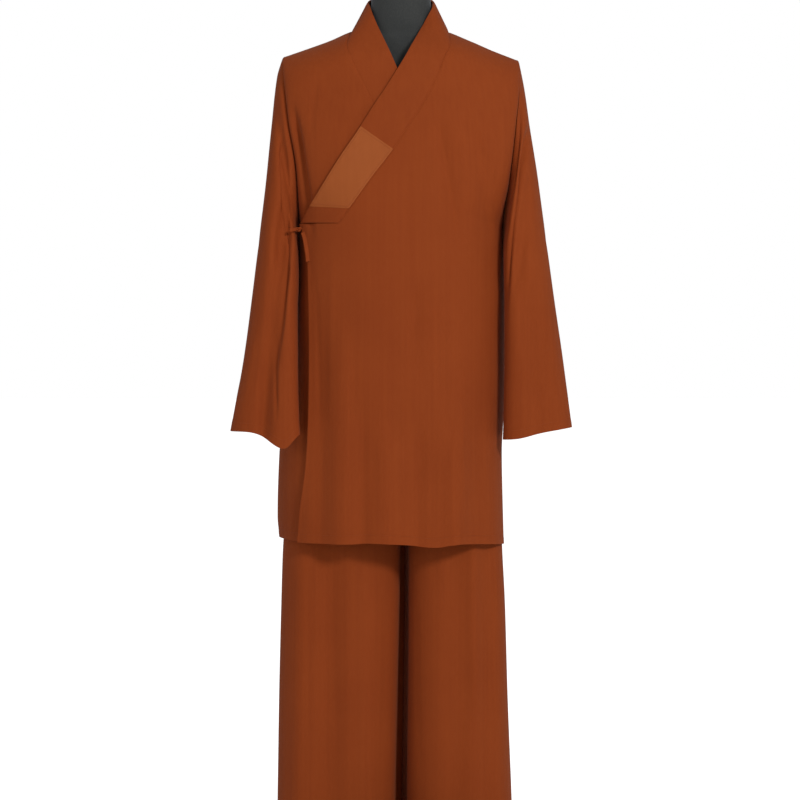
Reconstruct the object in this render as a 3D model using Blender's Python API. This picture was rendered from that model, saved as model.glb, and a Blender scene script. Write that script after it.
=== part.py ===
"""A monk's crossed-collar jacket and wide trousers on a plain limbless dress form.

Metres, +Z up. The front faces -Y and the wearer's left is +X. The origin is under the middle
of the round base.
"""
import math

import bmesh
import bpy
import numpy as np

# Cloth and seams
CLOTH = 0.0016
BAND_CLOTH = 0.003
PATCH_CLOTH = 0.001
GAP = 0.0003
SEAM_SHIFT = 0.0005
NECK_SHIFT = 0.0012
OVERLAP_LIFT = 0.0075

# Jacket body: lengths are measured down from the shoulder line
BODY_LENGTH = 0.94
SHOULDER_ROUND = 0.06
ARMPIT_DROP = 0.329
PATCH_TOP_DROP = 0.2326
BAND_END_DROP = 0.3516
HEM_HEIGHT = 0.561
HEM_TILT = -0.03
ROUNDNESS = 2.3
ARMHOLE_DEPTH = 0.052
RIGHT_SETBACK = 0.02
LEFT_SETBACK = 0.015
SHOULDER_ROWS = 6
LOWER_DROPS = (0.095, 0.14, 0.185, PATCH_TOP_DROP, 0.265, 0.297, ARMPIT_DROP, BAND_END_DROP,
               0.40, 0.45, 0.505, 0.56, 0.615, 0.67, 0.725, 0.78, 0.835, 0.89, BODY_LENGTH)

# Neck opening
NECK_RIGHT = 0.0897
NECK_LEFT = 0.0881
NECK_DROP = 0.02
COLLAR_TOP_WIDTH = 0.0611
COLLAR_TOP_DEPTH = 0.066
COLLAR_SIDE_HEIGHT = 1.5555
COLLAR_BACK_RISE = 0.0165

# Tie: where the knot and the hanging end lie, as x and height, and the side end from the knot
KNOT_AT = (-0.1755, 1.1350)
KNOT_SIZE = (0.0068, 0.0042, 0.0050)
TIE_WIDTH = 0.006
TIE_CLOTH = 0.0012
TIE_DOWN = ((-0.1708, 1.1290), (-0.1675, 1.1180), (-0.1650, 1.1020), (-0.1630, 1.0880), (-0.1622, 1.0760))
TIE_SIDE = ((-0.0045, -0.0048, -0.0005), (-0.0085, -0.0088, -0.0007), (-0.0112, -0.0112, -0.0010),
            (-0.0140, -0.0128, -0.0014), (-0.0160, -0.0136, -0.0018))
KNOT_STAND = 0.0019
TIE_STAND = 0.0025

# Stand
BASE_RADIUS = 0.2
BASE_THICK = 0.012
POLE_X = -0.09
POLE_RADIUS = 0.0125
HUB_RADIUS = 0.024
HUB_HEIGHT = 0.03
FORM_BOTTOM = 0.8
NECK_TOP = 1.6
CAP_RADIUS = 0.0535
CAP_HEIGHT = 0.009
WAIST_TOP = 1.04
WAIST_SEAM = 1.0
FORM_SIDES = 32


def table(columns, *rows):
    """A short table as one array for each named column."""
    return dict(zip(columns, np.array(rows, dtype=float).T))


RIDGE = table(("x", "height"),
              (-0.2183, 1.4528), (-0.1776, 1.4667), (-0.1313, 1.4833), (-0.0897, 1.5009), (-0.04, 1.512),
              (0.0, 1.515), (0.04, 1.512), (0.086, 1.5), (0.1277, 1.4815), (0.1647, 1.4667), (0.2174, 1.4464))

SIDES = table(("drop", "right", "left"),
              (0.0, 0.2183, 0.2174), (0.045, 0.2155, 0.2173), (0.13, 0.2055, 0.2105), (0.24, 0.1912, 0.1986),
              (ARMPIT_DROP, 0.1880, 0.1875), (0.36, 0.1887, 0.1888), (0.40, 0.1890, 0.1906),
              (0.45, 0.1908, 0.1917), (0.50, 0.1935, 0.1920), (0.60, 0.2010, 0.1918),
              (0.68, 0.211, 0.1906), (0.766, 0.2251, 0.1867),
              (0.90, 0.2292, 0.1893), (BODY_LENGTH, 0.226, 0.1905))

DEPTHS = table(("drop", "front", "back"),
               (0.0, 0.08, 0.085), (0.07, 0.086, 0.090), (0.13, 0.098, 0.099), (0.2, 0.110, 0.106),
               (ARMPIT_DROP, 0.118, 0.109), (0.5, 0.118, 0.110), (0.75, 0.120, 0.112),
               (BODY_LENGTH, 0.124, 0.116))

# The band's seam and free rim, from the shoulder down, on the over front and on the under front
BAND_COLUMNS = ("seam_x", "seam_height", "rim_x", "rim_height", "rim_y")
OVER_BAND = table(BAND_COLUMNS,
                  (0.0881, 1.4991, 0.0611, 1.5555, 0.0), (0.0881, 1.4741, 0.0590, 1.5464, -0.022),
                  (0.0805, 1.4507, 0.0422, 1.5145, -0.053), (0.0639, 1.4076, 0.0091, 1.4518, -0.080),
                  (0.0382, 1.3575, -0.0255, 1.3943, -0.095), (0.0132, 1.3208, -0.0474, 1.3612, -0.100),
                  (-0.0135, 1.2788, -0.0728, 1.3208, -0.105), (-0.0509, 1.2295, -0.1110, 1.2644, -0.105),
                  (-0.0920, 1.1722, -0.1626, 1.1777, -0.080), (-0.1118, 1.1442, -0.1796, 1.1453, -0.060))
UNDER_BAND = table(BAND_COLUMNS,
                   (-0.0897, 1.5009, -0.0611, 1.5555, 0.0), (-0.0991, 1.4741, -0.0553, 1.5386, -0.028),
                   (-0.0897, 1.4452, -0.0385, 1.4992, -0.060), (-0.0758, 1.4153, -0.0219, 1.4631, -0.073),
                   (-0.0510, 1.3651, -0.0055, 1.4259, -0.085), (-0.0255, 1.3136, 0.0182, 1.3742, -0.095),
                   (0.0018, 1.2606, 0.0582, 1.2844, -0.105))
UNDER_EDGE = table(("drop", "x"),
                   (0.25, 0.0), (0.265, 0.0), (0.35, 0.048), (0.42, 0.06), (BODY_LENGTH, 0.065))
FREE_EDGE = table(("height", "x"),
                  (0.560, -0.1845), (0.6118, -0.1807), (0.7029, -0.1698), (0.8232, -0.1645),
                  (0.9511, -0.1628), (1.0755, -0.1647), (1.1158, -0.1700), (1.1440, -0.1790))

# Soft folds: a trough has a positive depth and a ridge a negative one
FOLD_COLUMNS = ("top_x", "top_z", "mid_x", "foot_x", "foot_z", "reach", "depth")
FRONT_FOLDS = table(FOLD_COLUMNS,
                    (-0.200, 1.36, -0.188, -0.168, 1.15, 0.015, 0.006),
                    (0.055, 1.37, 0.086, 0.101, 1.08, 0.016, 0.0045),
                    (0.125, 1.36, 0.146, 0.176, 1.08, 0.015, 0.005),
                    (0.027, 1.06, 0.029, 0.028, 0.84, 0.016, 0.003),
                    (0.031, 0.82, 0.030, 0.029, 0.46, 0.020, 0.007),
                    (0.100, 0.82, 0.097, 0.097, 0.42, 0.016, -0.007),
                    (0.140, 0.86, 0.137, 0.136, 0.42, 0.020, 0.005),
                    (0.176, 0.68, 0.176, 0.176, 0.44, 0.014, -0.005),
                    (-0.140, 1.00, -0.142, -0.143, 0.42, 0.018, 0.006),
                    (-0.105, 1.00, -0.106, -0.104, 0.44, 0.020, -0.004),
                    (-0.068, 0.86, -0.069, -0.070, 0.42, 0.016, 0.005),
                    (-0.026, 0.80, -0.024, -0.022, 0.42, 0.018, -0.004))
BACK_FOLDS = table(FOLD_COLUMNS,
                   (-0.150, 1.33, -0.125, -0.118, 0.95, 0.018, 0.006),
                   (0.150, 1.34, 0.128, 0.115, 0.99, 0.018, 0.005),
                   (-0.140, 1.00, -0.150, -0.155, 0.42, 0.019, 0.007),
                   (-0.095, 0.95, -0.100, -0.103, 0.42, 0.020, -0.006),
                   (-0.045, 1.08, -0.048, -0.052, 0.42, 0.018, 0.007),
                   (0.000, 0.90, 0.002, 0.004, 0.42, 0.020, -0.006),
                   (0.050, 1.02, 0.052, 0.054, 0.42, 0.017, 0.007),
                   (0.100, 0.88, 0.102, 0.103, 0.42, 0.018, -0.005),
                   (0.140, 1.04, 0.142, 0.143, 0.42, 0.016, 0.006))

# Sleeves: the outer and the underarm line and half the depth, from the armhole (0) to the cuff (1)
SLEEVE_COLUMNS = ("along", "out_x", "out_y", "out_z", "in_x", "in_y", "in_z", "depth")
SLEEVES = {
    "right": table(SLEEVE_COLUMNS,
                   (0.00, -0.2183, 0.000, 1.4528, -0.1880, 0.000, 1.1426, 0.052),
                   (0.05, -0.2287, 0.000, 1.4167, -0.1884, -0.013, 1.1180, 0.054),
                   (0.18, -0.2390, -0.010, 1.3226, -0.1872, -0.035, 1.0750, 0.056),
                   (0.32, -0.2492, -0.015, 1.2201, -0.1876, -0.047, 1.0300, 0.053),
                   (0.43, -0.2582, -0.020, 1.1444, -0.1892, -0.053, 0.9920, 0.050),
                   (0.62, -0.2744, -0.030, 1.0088, -0.1884, -0.070, 0.9200, 0.045),
                   (0.78, -0.2868, -0.040, 0.9141, -0.1876, -0.080, 0.8500, 0.041),
                   (1.00, -0.3132, -0.050, 0.7655, -0.1845, -0.090, 0.7665, 0.036)),
    "left": table(SLEEVE_COLUMNS,
                  (0.00, 0.2174, 0.000, 1.4464, 0.1875, 0.000, 1.1344, 0.052),
                  (0.05, 0.2276, 0.000, 1.3955, 0.1877, -0.020, 1.1140, 0.056),
                  (0.15, 0.2364, -0.010, 1.3311, 0.1880, -0.041, 1.0830, 0.056),
                  (0.28, 0.2510, -0.015, 1.2377, 0.1888, -0.049, 1.0400, 0.053),
                  (0.37, 0.2589, -0.020, 1.1783, 0.1895, -0.050, 1.0060, 0.050),
                  (0.62, 0.2817, -0.030, 1.0088, 0.1895, -0.052, 0.9000, 0.045),
                  (0.79, 0.2983, -0.030, 0.8955, 0.1885, -0.054, 0.8250, 0.041),
                  (1.00, 0.3144, -0.040, 0.7725, 0.1870, -0.056, 0.7517, 0.036)),
}
SLEEVE_FOLDS = {
    ("right", -1): table(FOLD_COLUMNS,
                         (-0.232, 1.42, -0.229, -0.221, 1.04, 0.014, 0.007),
                         (-0.212, 1.32, -0.204, -0.197, 1.06, 0.011, 0.013),
                         (-0.204, 1.24, -0.234, -0.262, 0.66, 0.013, 0.014),
                         (-0.252, 1.10, -0.262, -0.276, 0.66, 0.018, 0.004)),
    ("right", 1): table(FOLD_COLUMNS,
                        (-0.225, 1.36, -0.222, -0.205, 1.10, 0.016, 0.006),
                        (-0.215, 1.12, -0.236, -0.252, 0.66, 0.018, 0.008)),
    ("left", -1): table(FOLD_COLUMNS,
                        (0.240, 1.34, 0.224, 0.203, 0.98, 0.013, 0.008),
                        (0.232, 1.06, 0.246, 0.262, 0.66, 0.018, 0.004)),
    ("left", 1): table(FOLD_COLUMNS,
                       (0.226, 1.36, 0.222, 0.206, 1.08, 0.016, 0.006),
                       (0.222, 1.10, 0.242, 0.262, 0.66, 0.018, 0.008)),
}
# The cuff's lowest place in front: x, how far the dip reaches out and in, and how deep it is
CUFF_DIP = {"right": (-0.2130, 0.036, 0.022, 0.031), "left": (0.2150, 0.030, 0.030, 0.004)}
SLEEVE_RINGS = 16
SLEEVE_SIDES = 24

# Trousers: side lines, inner lines, depths and how full the centre seam still is, by height
TROUSERS = table(("height", "right_out", "left_out", "right_in", "left_in", "front", "back", "rise"),
                 (0.045, 0.2300, 0.2065, -0.0110, 0.0105, 0.078, 0.082, 0.0),
                 (0.081, 0.2294, 0.2054, -0.0105, 0.0105, 0.078, 0.082, 0.0),
                 (0.266, 0.2265, 0.1980, -0.0065, 0.0122, 0.078, 0.082, 0.0),
                 (0.451, 0.2220, 0.1924, -0.0025, 0.0135, 0.077, 0.082, 0.0),
                 (0.545, 0.2190, 0.1876, -0.0010, 0.0130, 0.074, 0.080, 0.0),
                 (0.620, 0.2120, 0.1850, -0.0005, 0.0080, 0.073, 0.080, 0.0),
                 (0.695, 0.2010, 0.1820, 0.0000, 0.0008, 0.077, 0.082, 0.0),
                 (0.700, 0.2000, 0.1818, 0.0000, 0.0004, 0.078, 0.083, 0.27),
                 (0.715, 0.1970, 0.1812, 0.0000, 0.0000, 0.081, 0.085, 0.5),
                 (0.740, 0.1930, 0.1800, 0.0000, 0.0000, 0.085, 0.088, 0.72),
                 (0.775, 0.1880, 0.1780, 0.0000, 0.0000, 0.090, 0.091, 0.88),
                 (0.820, 0.1820, 0.1750, 0.0000, 0.0000, 0.096, 0.095, 0.97),
                 (0.880, 0.1740, 0.1700, 0.0000, 0.0000, 0.101, 0.098, 1.0),
                 (0.940, 0.1640, 0.1620, 0.0000, 0.0000, 0.103, 0.097, 1.0),
                 (1.000, 0.1500, 0.1500, 0.0000, 0.0000, 0.100, 0.092, 1.0))
TROUSER_HEIGHTS = (WAIST_SEAM, 0.94, 0.88, 0.82, 0.775, 0.74, 0.715, 0.70, 0.695, 0.66,
                   0.61, 0.55, 0.48, 0.40, 0.32, 0.24, 0.16, 0.09, 0.045)
TROUSER_COLUMNS = 9
TROUSER_FOLDS = {
    ("right", -1): table(FOLD_COLUMNS,
                         (-0.130, 0.76, -0.132, -0.134, -0.10, 0.025, 0.011),
                         (-0.185, 0.66, -0.190, -0.194, -0.10, 0.014, -0.004),
                         (-0.060, 0.70, -0.056, -0.056, -0.10, 0.020, -0.004)),
    ("right", 1): table(FOLD_COLUMNS,
                        (-0.080, 0.76, -0.084, -0.086, -0.10, 0.020, 0.008),
                        (-0.150, 0.70, -0.152, -0.156, -0.10, 0.018, 0.006)),
    ("left", -1): table(FOLD_COLUMNS,
                        (0.133, 0.72, 0.134, 0.140, 0.20, 0.011, -0.005),
                        (0.158, 0.72, 0.158, 0.160, -0.10, 0.015, 0.006),
                        (0.100, 0.70, 0.100, 0.104, -0.10, 0.020, 0.004)),
    ("left", 1): table(FOLD_COLUMNS,
                       (0.075, 0.76, 0.078, 0.082, -0.10, 0.019, 0.008),
                       (0.145, 0.70, 0.145, 0.148, -0.10, 0.017, 0.006)),
}

# Behind, the legs fill the gap between them: where across the panel, how far past the middle, and to where
LEG_FILLS = {"right": (0.03, 0.002, 0.2), "left": (0.117, 0.001, 0.35)}

# Dress form: half widths on the wearer's right and left and half depths, from the bottom up
FORM = table(("height", "right", "left", "front", "back"),
             (FORM_BOTTOM, 0.150, 0.150, 0.080, 0.080), (0.812, 0.158, 0.158, 0.085, 0.086),
             (0.88, 0.160, 0.158, 0.094, 0.092), (0.95, 0.154, 0.153, 0.0975, 0.0905),
             (WAIST_SEAM, 0.1467, 0.1467, 0.0967, 0.0887), (WAIST_TOP, 0.1467, 0.1467, 0.0967, 0.0887),
             (1.12, 0.150, 0.150, 0.098, 0.088), (1.20, 0.158, 0.158, 0.102, 0.090),
             (1.30, 0.172, 0.172, 0.099, 0.090), (1.38, 0.188, 0.188, 0.085, 0.082),
             (1.42, 0.198, 0.197, 0.071, 0.072), (1.442, 0.2030, 0.2010, 0.059, 0.062),
             (1.4516, 0.2050, 0.1970, 0.053, 0.056), (1.4571, 0.1980, 0.1829, 0.0515, 0.054),
             (1.4641, 0.1776, 0.1647, 0.050, 0.052), (1.4726, 0.1540, 0.1435, 0.049, 0.050),
             (1.4807, 0.1313, 0.1235, 0.048, 0.050), (1.489, 0.1095, 0.1030, 0.047, 0.050),
             (1.493, 0.0880, 0.0850, 0.046, 0.049), (1.499, 0.0700, 0.0700, 0.0455, 0.048),
             (1.510, 0.0610, 0.0610, 0.047, 0.049), (1.528, 0.0565, 0.0565, 0.049, 0.051),
             (1.555, 0.0550, 0.0550, 0.0505, 0.0515), (NECK_TOP, 0.0540, 0.0540, 0.0515, 0.052))

# Colour, roughness and metallic value
FINISHES = {
    "robe_cloth": ((0.262, 0.052, 0.013), 0.75, 0.0),
    "patch_cloth": ((0.376, 0.091, 0.023), 0.55, 0.0),
    "form_cover": ((0.042, 0.043, 0.040), 0.85, 0.0),
    "stand_metal": ((0.035, 0.035, 0.036), 0.45, 0.6),
    "cap_plastic": ((0.028, 0.028, 0.029), 0.5, 0.0),
}


# Curves and sections

def smooth(low, high, value):
    """Rises softly from 0 at low to 1 at high."""
    part = np.clip((value - low) / (high - low), 0, 1)
    return part * part * (3 - 2 * part)


def along(rows, key, column, at):
    """A column read at values of the key, on a smooth curve that never overshoots its rows."""
    x, y = rows[key], rows[column]
    step = np.diff(x)
    slope = np.diff(y) / step
    before, after = slope[:-1], slope[1:]
    same = before * after > 0
    total = np.where(same, before + after, 1)
    bend = np.concatenate(([slope[0]], np.where(same, 2 * before * after / total, 0), [slope[-1]]))
    at = np.asarray(at, dtype=float)
    i = np.clip(np.searchsorted(x, at, side="right") - 1, 0, len(step) - 1)
    t = np.clip((at - x[i]) / step[i], 0, 1)
    level = y[i] * (1 + 2 * t) * (1 - t) ** 2 + y[i + 1] * t * t * (3 - 2 * t)
    return level + step[i] * (bend[i] * t * (1 - t) ** 2 - bend[i + 1] * t * t * (1 - t))


def arch(part):
    """The rounded height, 0 to 1, of a section at a place from -1 to 1 across it."""
    return np.clip(1 - np.abs(part) ** ROUNDNESS, 0, 1) ** (1 / ROUNDNESS)


def armhole_arch(part):
    """The armhole's depth: round at the shoulder, 1, and drawn to a soft point at the armpit, -1."""
    return np.where(np.asarray(part) > 0, arch(part), np.clip(1 - np.abs(part) ** ROUNDNESS, 0, 1))


def turn(angle):
    """Place across and depth, each -1 to 1, of a point on the same rounded section."""
    power = 2 / ROUNDNESS
    cosine, sine = np.cos(angle), np.sin(angle)
    return np.sign(cosine) * np.abs(cosine) ** power, np.sign(sine) * np.abs(sine) ** power


def relief(folds, x, z):
    """How far the cloth dips at x and z: the sum of its soft troughs and ridges."""
    total = np.zeros(np.broadcast(x, z).shape)
    for row in zip(*(folds[name] for name in FOLD_COLUMNS)):
        top_x, top_z, mid_x, foot_x, foot_z, reach, depth = row
        t = np.clip((top_z - z) / (top_z - foot_z), 0, 1)
        bow = 4 * t * (1 - t) * (mid_x - (top_x + foot_x) / 2)
        centre = top_x + t * (foot_x - top_x) + bow
        fade = smooth(0, 0.25, t) * (1 - smooth(0.75, 1, t))
        total = total + depth * fade * np.exp(-((x - centre) / reach) ** 2)
    return total


# Jacket body surface

def ridge_height(x):
    return along(RIDGE, "x", "height", x)


def fall(x):
    """Metres of height for each metre of drop below the shoulder line."""
    return (ridge_height(x) - HEM_HEIGHT - HEM_TILT * x) / BODY_LENGTH


def height_at(x, drop):
    return ridge_height(x) - drop * fall(x)


def drop_at(x, height):
    return (ridge_height(x) - height) / fall(x)


def half_width(x, drop):
    return np.where(x < 0, along(SIDES, "drop", "right", drop), along(SIDES, "drop", "left", drop))


def side_setback(x, drop):
    """How far behind the middle the sides lie: the right one to the hem, the left one by its sleeve."""
    right = RIGHT_SETBACK * smooth(ARMPIT_DROP, BODY_LENGTH, drop)
    left = LEFT_SETBACK * smooth(ARMPIT_DROP, 0.43, drop) * (1 - smooth(0.66, 0.84, drop))
    return np.where(x < 0, right, left)


def body_points(face, x, drop):
    """Points of the jacket's outer surface: face is -1 in front and 1 behind."""
    x, drop = np.broadcast_arrays(np.asarray(x, dtype=float), np.asarray(drop, dtype=float))
    across = np.clip(np.abs(x) / half_width(x, drop), 0, 1)
    edge = ARMHOLE_DEPTH * armhole_arch(1 - 2 * drop / ARMPIT_DROP)
    start = np.clip(drop / SHOULDER_ROUND, 0, 1)
    middle = along(DEPTHS, "drop", "front" if face < 0 else "back", drop) * np.sqrt(1 - (1 - start) ** 2)
    height = height_at(x, drop)
    folds = FRONT_FOLDS if face < 0 else BACK_FOLDS
    dip = relief(folds, x, height) * (1 - across ** 8) * smooth(0, 0.1, drop)
    depth = edge + (middle - edge) * arch(across) - dip
    y = face * (depth + GAP / 2) + side_setback(x, drop) * across ** 3
    return np.stack((x, y, height), axis=-1)


def over_lift(points):
    """How far the over front and its band stand off the under front."""
    x, height = points[..., 0], points[..., 2]
    return OVERLAP_LIFT * smooth(1.5, 1.445, height) * smooth(0.17, 0.10, x)


# Walls

def normals_of(points, closed=False):
    """Unit normals of a grid of points, by the differences between its neighbours."""
    down = np.gradient(points, axis=0)
    if closed:
        side = (np.roll(points, -1, axis=1) - np.roll(points, 1, axis=1)) / 2
    else:
        side = np.gradient(points, axis=1)
    normal = np.cross(side, down)
    return normal / np.maximum(np.linalg.norm(normal, axis=-1, keepdims=True), 1e-12)


def facing(normals, points, centre):
    """The normals turned, all together, to point away from a centre."""
    return normals * np.sign(np.sum(normals * (points - np.array(centre))))


def inward(normals, thickness, seams):
    """Steps through the wall, kept from crossing each seam: (rows, columns, direction across)."""
    step = -thickness * normals
    for rows, columns, across in seams:
        across = np.array(across, dtype=float)
        part = step[rows, columns]
        over = np.maximum(part @ across, 0)[..., None]
        part = part - over * across
        length = np.maximum(np.linalg.norm(part, axis=-1, keepdims=True), 1e-12)
        step[rows, columns] = part * thickness / length
    return step


def material_of(name):
    if name in bpy.data.materials:
        return bpy.data.materials[name]
    colour, roughness, metallic = FINISHES[name]
    made = bpy.data.materials.new(name)
    made.use_nodes = True
    shader = made.node_tree.nodes["Principled BSDF"]
    shader.inputs["Base Color"].default_value = (*colour, 1)
    shader.inputs["Roughness"].default_value = roughness
    shader.inputs["Metallic"].default_value = metallic
    return made


def add_object(name, work, finish):
    """An object from a bmesh, closed, facing out and shaded smooth."""
    bmesh.ops.delete(work, geom=[v for v in work.verts if not v.link_faces], context="VERTS")
    bmesh.ops.recalc_face_normals(work, faces=work.faces)
    mesh = bpy.data.meshes.new(name)
    work.to_mesh(mesh)
    work.free()
    mesh.shade_smooth()
    mesh.set_sharp_from_angle(angle=math.radians(40))
    mesh.materials.append(material_of(finish))
    bpy.context.scene.collection.objects.link(bpy.data.objects.new(name, mesh))


def cloth_wall(name, outer, step, finish, closed=False, missing=None):
    """A wall from a grid of outer points and its steps inward; missing cells are left out."""
    rows, columns = outer.shape[:2]
    work = bmesh.new()
    faces = {}
    sides = []
    for grid in (outer, outer + step):
        sides.append([[work.verts.new(p) for p in row] for row in grid])
    last = columns if closed else columns - 1
    for i in range(rows - 1):
        for j in range(last):
            if missing is not None and missing(i, j):
                continue
            ring = ((i, j), (i, (j + 1) % columns), (i + 1, (j + 1) % columns), (i + 1, j))
            for side in sides:
                work.faces.new([side[r][c] for r, c in ring])
            for start, end in zip(ring, ring[1:] + ring[:1]):
                pair = tuple(sorted((start, end)))
                faces[pair] = faces.get(pair, 0) + 1
    for (start, end), uses in faces.items():
        if uses == 1:
            corners = [sides[k][r][c] for k, (r, c) in ((0, start), (0, end), (1, end), (1, start))]
            work.faces.new(corners)
    add_object(name, work, finish)


# Rows and columns

def body_rows():
    """Drops of the body's rows: close together round the shoulder, then down to the hem."""
    angle = np.linspace(0, math.pi / 2, SHOULDER_ROWS + 1)
    return np.concatenate((SHOULDER_ROUND * (1 - np.cos(angle)), LOWER_DROPS))


def spread(count):
    """Places from 0 to 1 that draw closer together towards 1."""
    return np.sin(np.linspace(0, math.pi / 2, count + 1)) ** 0.95


def band_line(band, column, drops):
    """A column of the band's table at drops of its seam."""
    keyed = dict(band, drop=drop_at(band["seam_x"], band["seam_height"]))
    return along(keyed, "drop", column, drops)


def under_edge(drops):
    """The under front's inner edge: the band's seam, and below the band its free edge."""
    end = drop_at(UNDER_BAND["seam_x"][-1], UNDER_BAND["seam_height"][-1])
    seam = band_line(UNDER_BAND, "seam_x", drops) - SEAM_SHIFT - NECK_SHIFT * smooth(0.08, 0.03, drops)
    free = along(UNDER_EDGE, "drop", "x", drops)
    return np.where(drops <= end, seam, free)


# Jacket panels

def build_front_under():
    drops = body_rows()
    inner = under_edge(drops)
    outer_x = -half_width(-1.0, drops)
    x = inner[:, None] + (outer_x - inner)[:, None] * spread(15)
    points = body_points(-1, x, drops[:, None])
    normal = facing(normals_of(points), points, (0, 0, 1))
    armpit = list(drops).index(ARMPIT_DROP)
    seams = [(slice(0, 1), slice(None), (0, 1, 0)), (slice(None), slice(-1, None), (0, 1, 0)),
             (slice(0, armpit), slice(-1, None), (-1, 0, 0))]
    cloth_wall("front_under", points, inward(normal, CLOTH, seams), "robe_cloth")


def over_grid(wide, narrow):
    """The over front: its main columns, and narrow ones left of the band's end below it."""
    drops = body_rows()
    end = list(drops).index(BAND_END_DROP)
    seam = band_line(OVER_BAND, "seam_x", drops) + SEAM_SHIFT + NECK_SHIFT * smooth(0.08, 0.03, drops)
    seam[end:] = OVER_BAND["seam_x"][-1] + SEAM_SHIFT
    outer_x = half_width(1.0, drops)
    main = seam[:, None] + (outer_x - seam)[:, None] * spread(wide)
    main_drops = np.repeat(drops[:, None], wide + 1, axis=1)
    corner_height = height_at(seam[end], BAND_END_DROP)
    share = np.clip((drops - BAND_END_DROP) / (BODY_LENGTH - BAND_END_DROP), 0, 1)[:, None]
    edge = along(FREE_EDGE, "height", "x", corner_height + share[:, 0] * (HEM_HEIGHT - corner_height))
    side = seam[:, None] + (edge - seam)[:, None] * spread(narrow)
    side_drops = drop_at(side, corner_height) * (1 - share) + BODY_LENGTH * share
    x = np.concatenate((side[:, :0:-1], main), axis=1)
    return body_points(-1, x, np.concatenate((side_drops[:, :0:-1], main_drops), axis=1)), end


def build_front_over():
    wide, narrow = 17, 6
    points, end = over_grid(wide, narrow)
    normal = facing(normals_of(points), points, (0, 0, 1))
    # Above the band's end the narrow columns are unused, so the seam column takes its own difference
    upper = facing(normals_of(points[:end + 1, narrow:]), points[:end + 1, narrow:], (0, 0, 1))
    normal[:end, narrow:] = upper[:end]
    points = points + normal * over_lift(points)[..., None]
    armpit = list(body_rows()).index(ARMPIT_DROP)
    seams = [(slice(0, 1), slice(None), (0, 1, 0)), (slice(None), slice(-1, None), (0, 1, 0)),
             (slice(0, armpit), slice(-1, None), (1, 0, 0))]
    cloth_wall("front_over", points, inward(normal, CLOTH, seams), "robe_cloth",
               missing=lambda i, j: i < end and j < narrow)


def back_columns(drops, shoulder, neck):
    """x of the back's columns: both shoulders and the neck between them keep their own."""
    right = -NECK_RIGHT + (NECK_RIGHT - half_width(-1.0, drops))[:, None] * spread(shoulder)
    left = NECK_LEFT + (half_width(1.0, drops) - NECK_LEFT)[:, None] * spread(shoulder)
    angle = np.linspace(-math.pi / 2, math.pi / 2, neck + 1)[1:-1]
    middle = (NECK_LEFT - NECK_RIGHT) / 2 + (NECK_LEFT + NECK_RIGHT) / 2 * np.sin(angle)
    middle = np.repeat(middle[None, :], len(drops), axis=0)
    return np.concatenate((right[:, ::-1], middle, left), axis=1)


def neckline_drop(x):
    """Drop of the back's neckline below the shoulder line."""
    half = np.where(x < 0, NECK_RIGHT, NECK_LEFT)
    return NECK_DROP * np.clip(1 - (x / half) ** 2, 0, 1)


def back_grid(shoulder, neck):
    drops = body_rows()
    x = back_columns(drops, shoulder, neck)
    top = neckline_drop(x)
    share = np.clip(drops[:, None] / SHOULDER_ROUND, 0, 1)
    return body_points(1, x, drops[:, None] + top * (1 - share))


def build_back():
    points = back_grid(7, 8)
    normal = facing(normals_of(points), points, (0, 0, 1))
    armpit = list(body_rows()).index(ARMPIT_DROP)
    ends = (slice(0, 1), slice(-1, None))
    seams = [(slice(0, 1), slice(0, 8), (0, -1, 0)), (slice(0, 1), slice(-8, None), (0, -1, 0))]
    for column, outwards in zip(ends, (-1, 1)):
        seams.append((slice(None), column, (0, -1, 0)))
        seams.append((slice(0, armpit), column, (outwards, 0, 0)))
    cloth_wall("back", points, inward(normal, CLOTH, seams), "robe_cloth")


# Collar

def band_stretch(band, drops, fractions):
    """The band across one front: from its seam to its rim at each drop."""
    seam_x = band_line(band, "seam_x", drops)
    seam = body_points(-1, seam_x, drops)
    rim = np.stack([band_line(band, name, drops) for name in ("rim_x", "rim_y", "rim_height")], axis=-1)
    ruled = seam[:, None] + (rim - seam)[:, None] * fractions[None, :, None]
    lower = np.maximum(drop_at(ruled[..., 0], ruled[..., 2]), 0)
    laid = body_points(-1, ruled[..., 0], lower)
    share = smooth(0.03, 0.10, drops)[:, None] * np.ones_like(fractions)
    ruled[..., 1] = ruled[..., 1] * (1 - share) + laid[..., 1] * share
    return ruled


def neck_stretch(x, fractions):
    """The band round the back of the neck, standing up from the neckline."""
    seam = body_points(1, x, neckline_drop(x)) + (0, -SEAM_SHIFT, SEAM_SHIFT)
    middle = (NECK_LEFT - NECK_RIGHT) / 2
    sine = np.clip((x - middle) / ((NECK_LEFT + NECK_RIGHT) / 2), -1, 1)
    cosine = np.sqrt(1 - sine ** 2)
    rim = np.stack((COLLAR_TOP_WIDTH * sine, COLLAR_TOP_DEPTH * cosine,
                    COLLAR_SIDE_HEIGHT + COLLAR_BACK_RISE * cosine), axis=-1)
    return seam[:, None] + (rim - seam)[:, None] * fractions[None, :, None]


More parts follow.
